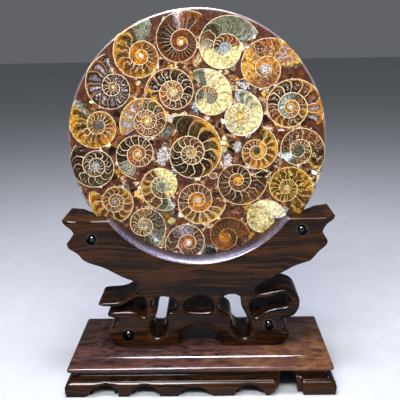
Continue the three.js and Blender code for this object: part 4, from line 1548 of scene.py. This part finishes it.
@dataclass
class Cradle:
    """The carved block that holds the slice. Lengths are in millimetres."""

    wood: bpy.types.Material
    front: float = -10.0
    back: float = 20.0
    knots: tuple[Point, ...] = KNOTS
    knot_radius: float = 3.6
    knot_depth: float = 2.5
    knot_taper: float = 0.6
    button_radius: float = 2.4
    button_behind: float = 2.7
    seat_clear: float = 0.3
    lip_radius: float = LIP[0]
    lip_height: float = LIP[1]
    lip_round: float = 2.2
    lip_taper: float = 1.4 / 11.5
    lip_depth: float = 16.0
    scoop_radius: float = 160.0
    scoop_slope: float = 21.8
    scoop_bottom: float = 79.0
    limbs: tuple[float, float] = (19.0, 54.5)
    voxel: float = 0.75

    def build(self, rock: RockSlice) -> None:
        """Carves the block round the slice's seat and dresses it.

        Args:
            rock: The slice that stands in it.
        """
        outlines = [carved_outline(CRADLE_OUTLINE, 6)]
        outlines += [carved_loop(loop, 6) for loop in CRADLE_OPENINGS]
        block = sawn_block("carved_cradle", outlines, self.front, self.back)
        cut(block, drum("seat", rock.radius + self.seat_clear,
                        rock.thickness + 2 * self.seat_clear, rock.centre, rock.tilt))
        cut(block, self.lip_tool())
        cut(block, self.scoop_tool())
        finish_modifier(block, "REMESH", mode="VOXEL", voxel_size=self.voxel * MM)
        finish_modifier(block, "SMOOTH", factor=0.5, iterations=5)
        self.soften(block)
        for x, z in self.knots:
            self.drill_knot(block, x, z)
        smooth_by_angle(block, 40)
        dress(block, self.wood)
        seat(block, ["cradle"])

    def scoop_tool(self) -> bpy.types.Object:
        """What is cut away to hollow the top behind the slice: a drum that slopes down backwards."""
        length = 120
        raised = self.scoop_radius / math.cos(math.radians(self.scoop_slope))
        return drum("scoop", self.scoop_radius, length,
                    (0, self.back, self.scoop_bottom + raised), self.scoop_slope)

    def lip_tool(self) -> bpy.types.Object:
        """What is cut away over the curved lip, whose front edge is rounded."""
        size, steps = self.lip_round, 6
        ahead, flare = 3, 12
        rings = [(self.front - ahead, self.lip_radius + size + flare)]
        for i in range(1, steps + 1):
            turn = math.pi / 2 * i / steps
            deep = size * (1 - math.cos(turn))
            rings.append((self.front + deep,
                          self.lip_radius + size * (1 - math.sin(turn)) - self.lip_taper * deep))
        rings.append((self.front + self.lip_depth,
                      self.lip_radius - self.lip_taper * self.lip_depth))
        return turned("lip", rings, 0, self.lip_height)

    def soften(self, block: bpy.types.Object) -> None:
        """Rounds the carved limbs under the head, as if worn and polished."""
        low, high = self.limbs
        fade_low, fade_high = 2, 3
        rub_down(block, 36, lambda height: min(1.0, (height - low) / fade_low)
                 * min(1.0, (high - height) / fade_high))

    def drill_knot(self, block: bpy.types.Object, x: float, z: float) -> None:
        """Drills a round hollow ring with a domed button in it, flush with the front.

        Args:
            block: The carved block.
            x: Place across, in millimetres.
            z: Height, in millimetres.
        """
        cut(block, drum("groove", self.knot_radius, 2 * self.knot_depth, (x, self.front, z),
                        sides=40, end_radius=self.knot_radius - self.knot_taper))
        clear_selection()
        bpy.ops.mesh.primitive_uv_sphere_add(
            segments=32, ring_count=16, radius=self.button_radius * MM,
            location=(x * MM, (self.front + self.button_behind) * MM, z * MM),
            rotation=(math.pi / 2, 0, 0))
        button = bpy.context.object
        place_in_mesh(button)
        cut(block, button, "UNION")


@dataclass
class Base:
    """The moulded slab and its scalloped apron. Lengths are in millimetres.

    The section is the apron's face, as how far it stands out from the slab's edge and its
    height. The edges are its lower line, with an arch for each scallop.
    """

    slab_wood: bpy.types.Material
    wood: bpy.types.Material
    half_x: float = 76.0
    half_y: float = 35.0
    top: float = 18.0
    under: float = 14.3
    border: float = 12.3
    fall: float = 0.9
    step_width: float = 0.7
    step_height: float = 0.45
    slab_round: float = 1.4
    spare: float = 6.0
    stock_depth: float = 20.0
    behind_edge: float = 7.6
    mitre_depth: float = 12.0
    cove_width: float = 2.8
    cove_deep: float = 2.4
    voxel: float = 0.6
    section: tuple[Point, ...] = (
        (-3.4, 14.3), (-4.6, 12.9), (-4.5, 11.3), (-3.3, 10.0), (-1.2, 9.15), (0.5, 7.9),
        (1.35, 6.3), (1.7, 4.5), (1.55, 2.5), (1.15, 0))
    long_edge: tuple[Run, ...] = (
        ((-80, 0), (-62.4, 0)),
        ((-62.4, 0), (-59.4, 3.4), (-54.7, 5), (-50.6, 3.8), (-49.8, 0)),
        ((-49.8, 0), (-37.9, 0)),
        ((-37.9, 0), (-35.6, 3), (-31.8, 4), (-27.6, 3), (-25.6, 0)),
        ((-25.6, 0), (-9.7, 0)),
        ((-9.7, 0), (-7.4, 2.2), (-3.6, 2.8), (1, 2.2), (4.3, 0)),
        ((4.3, 0), (22.1, 0)),
        ((22.1, 0), (24, 3), (27.8, 4.1), (32.4, 3), (34.7, 0)),
        ((34.7, 0), (42.1, 0)),
        ((42.1, 0), (44.8, 3.4), (45.4, 8), (46.6, 11.4), (50.2, 12.6), (53.6, 11.4),
         (55, 8), (55.4, 3.4), (55.8, 0)),
        ((55.8, 0), (80, 0)))
    short_edge: tuple[Run, ...] = (
        ((-40, 0), (-23, 0)),
        ((-23, 0), (-20.6, 3.2), (-16.6, 4.6), (-12.4, 3.2), (-10.4, 0)),
        ((-10.4, 0), (10.4, 0)),
        ((10.4, 0), (12.4, 3.2), (16.6, 4.6), (20.6, 3.2), (23, 0)),
        ((23, 0), (40, 0)))

    def build(self) -> None:
        """Makes the slab and the four boards."""
        self.slab()
        for side, turn in (("front", 0), ("back", 180)):
            self.board(side, self.half_x, self.half_y, self.long_edge, turn)
        for side, turn in (("left", -90), ("right", 90)):
            self.board(side, self.half_y, self.half_x, self.short_edge, turn)

    def slab(self) -> None:
        """The slab: a raised middle with a sloping margin and softened edges."""
        clear_selection()
        edge = self.top - self.fall
        bpy.ops.mesh.primitive_cube_add(size=1, location=(0, 0, (self.under + edge) / 2 * MM))
        slab = bpy.context.object
        slab.name = "moulded_slab"
        slab.scale = (2 * self.half_x * MM, 2 * self.half_y * MM, (edge - self.under) * MM)
        place_in_mesh(slab)
        choose(slab, "FACE", lambda side: side.normal.z > 0.9)
        for width, rise in ((self.border - self.step_width, self.fall - self.step_height),
                            (self.step_width, self.step_height)):
            bpy.ops.mesh.inset(thickness=width * MM, depth=rise * MM)
        bpy.ops.object.mode_set(mode="OBJECT")
        finish_modifier(slab, "BEVEL", width=self.slab_round * MM, segments=5,
                        limit_method="ANGLE", angle_limit=math.radians(40))
        smooth_by_angle(slab, 25)
        dress(slab, self.slab_wood)
        seat(slab, ["base_slab"])

    def board(self, side: str, half: float, offset: float, edge: Sequence[Run],
              turn: float) -> None:
        """One mitred board of the apron, made as a front board and turned to its side.

        Args:
            side: Which side it is for.
            half: Half the length of the slab's edge over it.
            offset: How far that edge is from the middle.
            edge: The scalloped lower edge.
            turn: Degrees it is turned about the upright axis.
        """
        end = half + self.spare
        outline = carved_outline(edge, 8) + [edge[-1][1], (end, self.under), (-end, self.under)]
        board = sawn_block(f"apron_{side}", [outline], -offset - self.spare,
                           -offset + self.stock_depth)
        cut(board, self.moulding(half, offset), "INTERSECT")
        cut(board, self.mitre(half, offset), "INTERSECT")
        for arch in edge:
            if max(z for _, z in arch) > 0:
                cut(board, self.cove(arch, offset))
        board.rotation_euler = (0, 0, math.radians(turn))
        place_in_mesh(board)
        tidy_mesh(board)
        finish_modifier(board, "REMESH", mode="VOXEL", voxel_size=self.voxel * MM)
        self.soften(board)
        smooth_by_angle(board, 40)
        dress(board, self.wood)
        seat(board, [f"skirt_{side}"])

    def moulding(self, half: float, offset: float) -> bpy.types.Object:
        """The straight moulded length that a board is cut from."""
        profile = [(-self.behind_edge, 0.0), (-self.behind_edge, self.under)]
        profile += spline_through(self.section, 4) + [self.section[-1]]
        end = half + 10
        length = sawn_block("run", [[(-offset - out, z) for out, z in profile]], -end, end)
        length.rotation_euler = (0, 0, math.pi / 2)
        place_in_mesh(length)
        tidy_mesh(length)
        return length

    def mitre(self, half: float, offset: float) -> bpy.types.Object:
        """The tool that leaves both ends of a board mitred at 45 degrees."""
        wide, narrow = half + self.spare, half - self.mitre_depth
        front, back = -offset - self.spare, -offset + self.mitre_depth
        plan = [(-wide, front), (wide, front), (narrow, back), (-narrow, back)]
        low, high = -10, 30
        tool = sawn_block("mitre", [plan], -high, -low)
        tool.rotation_euler = (-math.pi / 2, 0, 0)
        place_in_mesh(tool)
        return tool

    def cove(self, arch: Run, offset: float) -> bpy.types.Object:
        """The tool that sinks a border round one scallop.

        Args:
            arch: The scallop's line, from foot to foot.
            offset: How far the board's face is from the middle.

        Returns:
            The tool.
        """
        grow = self.cove_width
        middle, half = (arch[0][0] + arch[-1][0]) / 2, (arch[-1][0] - arch[0][0]) / 2
        high = max(z for _, z in arch)
        wider = [(middle + (x - middle) * (half + grow) / half, z * (high + grow) / high)
                 for x, z in arch]
        low, ahead = -3, 8
        outline = spline_through(wider, 6) + [wider[-1], (wider[-1][0], low), (wider[0][0], low)]
        return sawn_block("cove", [outline], -offset - ahead, -offset + self.cove_deep)

    def soften(self, board: bpy.types.Object) -> None:
        """Rounds the lobes and the edges of the scallops, but not the faces that bear."""
        least, fade_low, fade_high = 0.15, 1.5, 2
        rub_down(board, 16, lambda height: min(1.0, max(least, height / fade_low),
                                               (self.under - height) / fade_high))


# ------------------------------------------------------------------ the studio
@dataclass(frozen=True)
class Lamp:
    """An oblong soft light that looks at the object, in millimetres and watts.

    A lamp that is a glint only shows in polish, and doesn't light what is matt.
    """

    name: str
    place: Place
    size: Point
    power: float
    colour: Colour
    glint: bool = False


LAMPS: tuple[Lamp, ...] = (
    Lamp("key", (-40, -420, 560), (520, 120), 4.4, (1.0, 0.98, 0.95)),
    Lamp("glint", (-150, -380, 520), (300, 240), 17.0, (0.92, 0.93, 1.0), glint=True),
    Lamp("sheen", (0, -40, 720), (360, 160), 9.0, (0.90, 0.90, 1.0), glint=True),
    Lamp("fill", (560, -420, 260), (360, 360), 0.6, (0.93, 0.96, 1.0)),
    Lamp("top", (0, -60, 640), (260, 150), 4.2, (0.84, 0.84, 1.0)),
)


@dataclass
class Studio:
    """Floor, soft lights and the camera. Lengths are in millimetres, turns in degrees."""

    eye: Place = (7.3, -369.2, 197.8)
    pitch: float = 13.9
    yaw: float = -0.943
    roll: float = -1.058
    lens: float = 58.5
    sensor: float = 36.0
    middle: Place = (0.0, 0.0, 110.0)
    sky: Colour = (0.80, 0.84, 0.90)
    sky_strength: float = 0.15

    def build(self) -> None:
        """Makes the floor, the lights, the world and the camera."""
        self.floor()
        for lamp in LAMPS:
            self.light(lamp)
        world = bpy.data.worlds.new("studio")
        bpy.context.scene.world = world
        world.use_nodes = True
        background = world.node_tree.nodes["Background"]
        background.inputs["Color"].default_value = (*self.sky, 1)
        background.inputs["Strength"].default_value = self.sky_strength
        bpy.context.scene.view_settings.view_transform = "Standard"
        self.camera()

    def floor(self) -> None:
        """A wide plain pale floor."""
        clear_selection()
        bpy.ops.mesh.primitive_plane_add(size=12, location=(0, 0, 0))
        ground = bpy.context.object
        ground.name = "floor"
        material, board, shader = blank_material("Pale Floor")
        speck = board.noise(object_place(board), 60.0, 3, 0.5)
        pale = board.ramp(speck, [(0.3, (0.52, 0.54, 0.57)), (0.7, (0.56, 0.58, 0.61))])
        board.fill(shader, Base_Color=pale, Roughness=0.8)
        dress(ground, material)

    def light(self, lamp: Lamp) -> None:
        """Hangs one soft light that looks at the middle of the object."""
        clear_selection()
        spot = Vector([p * MM for p in lamp.place])
        aim = Vector([m * MM for m in self.middle]) - spot
        bpy.ops.object.light_add(type="AREA", location=spot,
                                 rotation=aim.to_track_quat("-Z", "Y").to_euler())
        hung = bpy.context.object
        hung.name = lamp.name
        hung.data.shape = "RECTANGLE"
        hung.data.size, hung.data.size_y = (side * MM for side in lamp.size)
        hung.data.energy = lamp.power
        hung.data.color = lamp.colour
        hung.visible_diffuse = not lamp.glint

    def camera(self) -> None:
        """The camera, set by its eye, pitch, yaw and roll."""
        clear_selection()
        pitch, yaw, roll = (math.radians(a) for a in (self.pitch, self.yaw, self.roll))
        ahead = Vector((math.sin(yaw) * math.cos(pitch), math.cos(yaw) * math.cos(pitch),
                        -math.sin(pitch)))
        right = Vector((math.cos(yaw), -math.sin(yaw), 0))
        up = right.cross(ahead)
        right, up = (right * math.cos(roll) + up * math.sin(roll),
                     up * math.cos(roll) - right * math.sin(roll))
        turn = Matrix((right, up, -ahead)).transposed()
        bpy.ops.object.camera_add(location=[c * MM for c in self.eye], rotation=turn.to_euler())
        camera = bpy.context.object
        camera.data.sensor_width = self.sensor
        camera.data.lens = self.lens
        camera.data.clip_start = 0.01
        bpy.context.scene.camera = camera


def main() -> None:
    """Builds the slice, its stand and the studio."""
    logging.basicConfig(level=logging.INFO, format="%(message)s")
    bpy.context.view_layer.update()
    rock = RockSlice()
    rock.build()
    log.info("slice done")
    wood = GlossWood("Dark Stand Wood").material()
    cradle_wood = GlossWood("Cradle Wood", knots=KNOTS, lip=LIP).material()
    slab_wood = GlossWood("Slab Wood", (0.016, 0.0070, 0.0070), (0.048, 0.0210, 0.0185),
                          (0.110, 0.048, 0.036), grain=0.8, sap=0.75, gloss=0.55).material()
    Cradle(cradle_wood).build(rock)
    log.info("cradle done")
    Base(slab_wood, wood).build()
    log.info("base done")
    Studio().build()


if __name__ == "__main__":
    main()
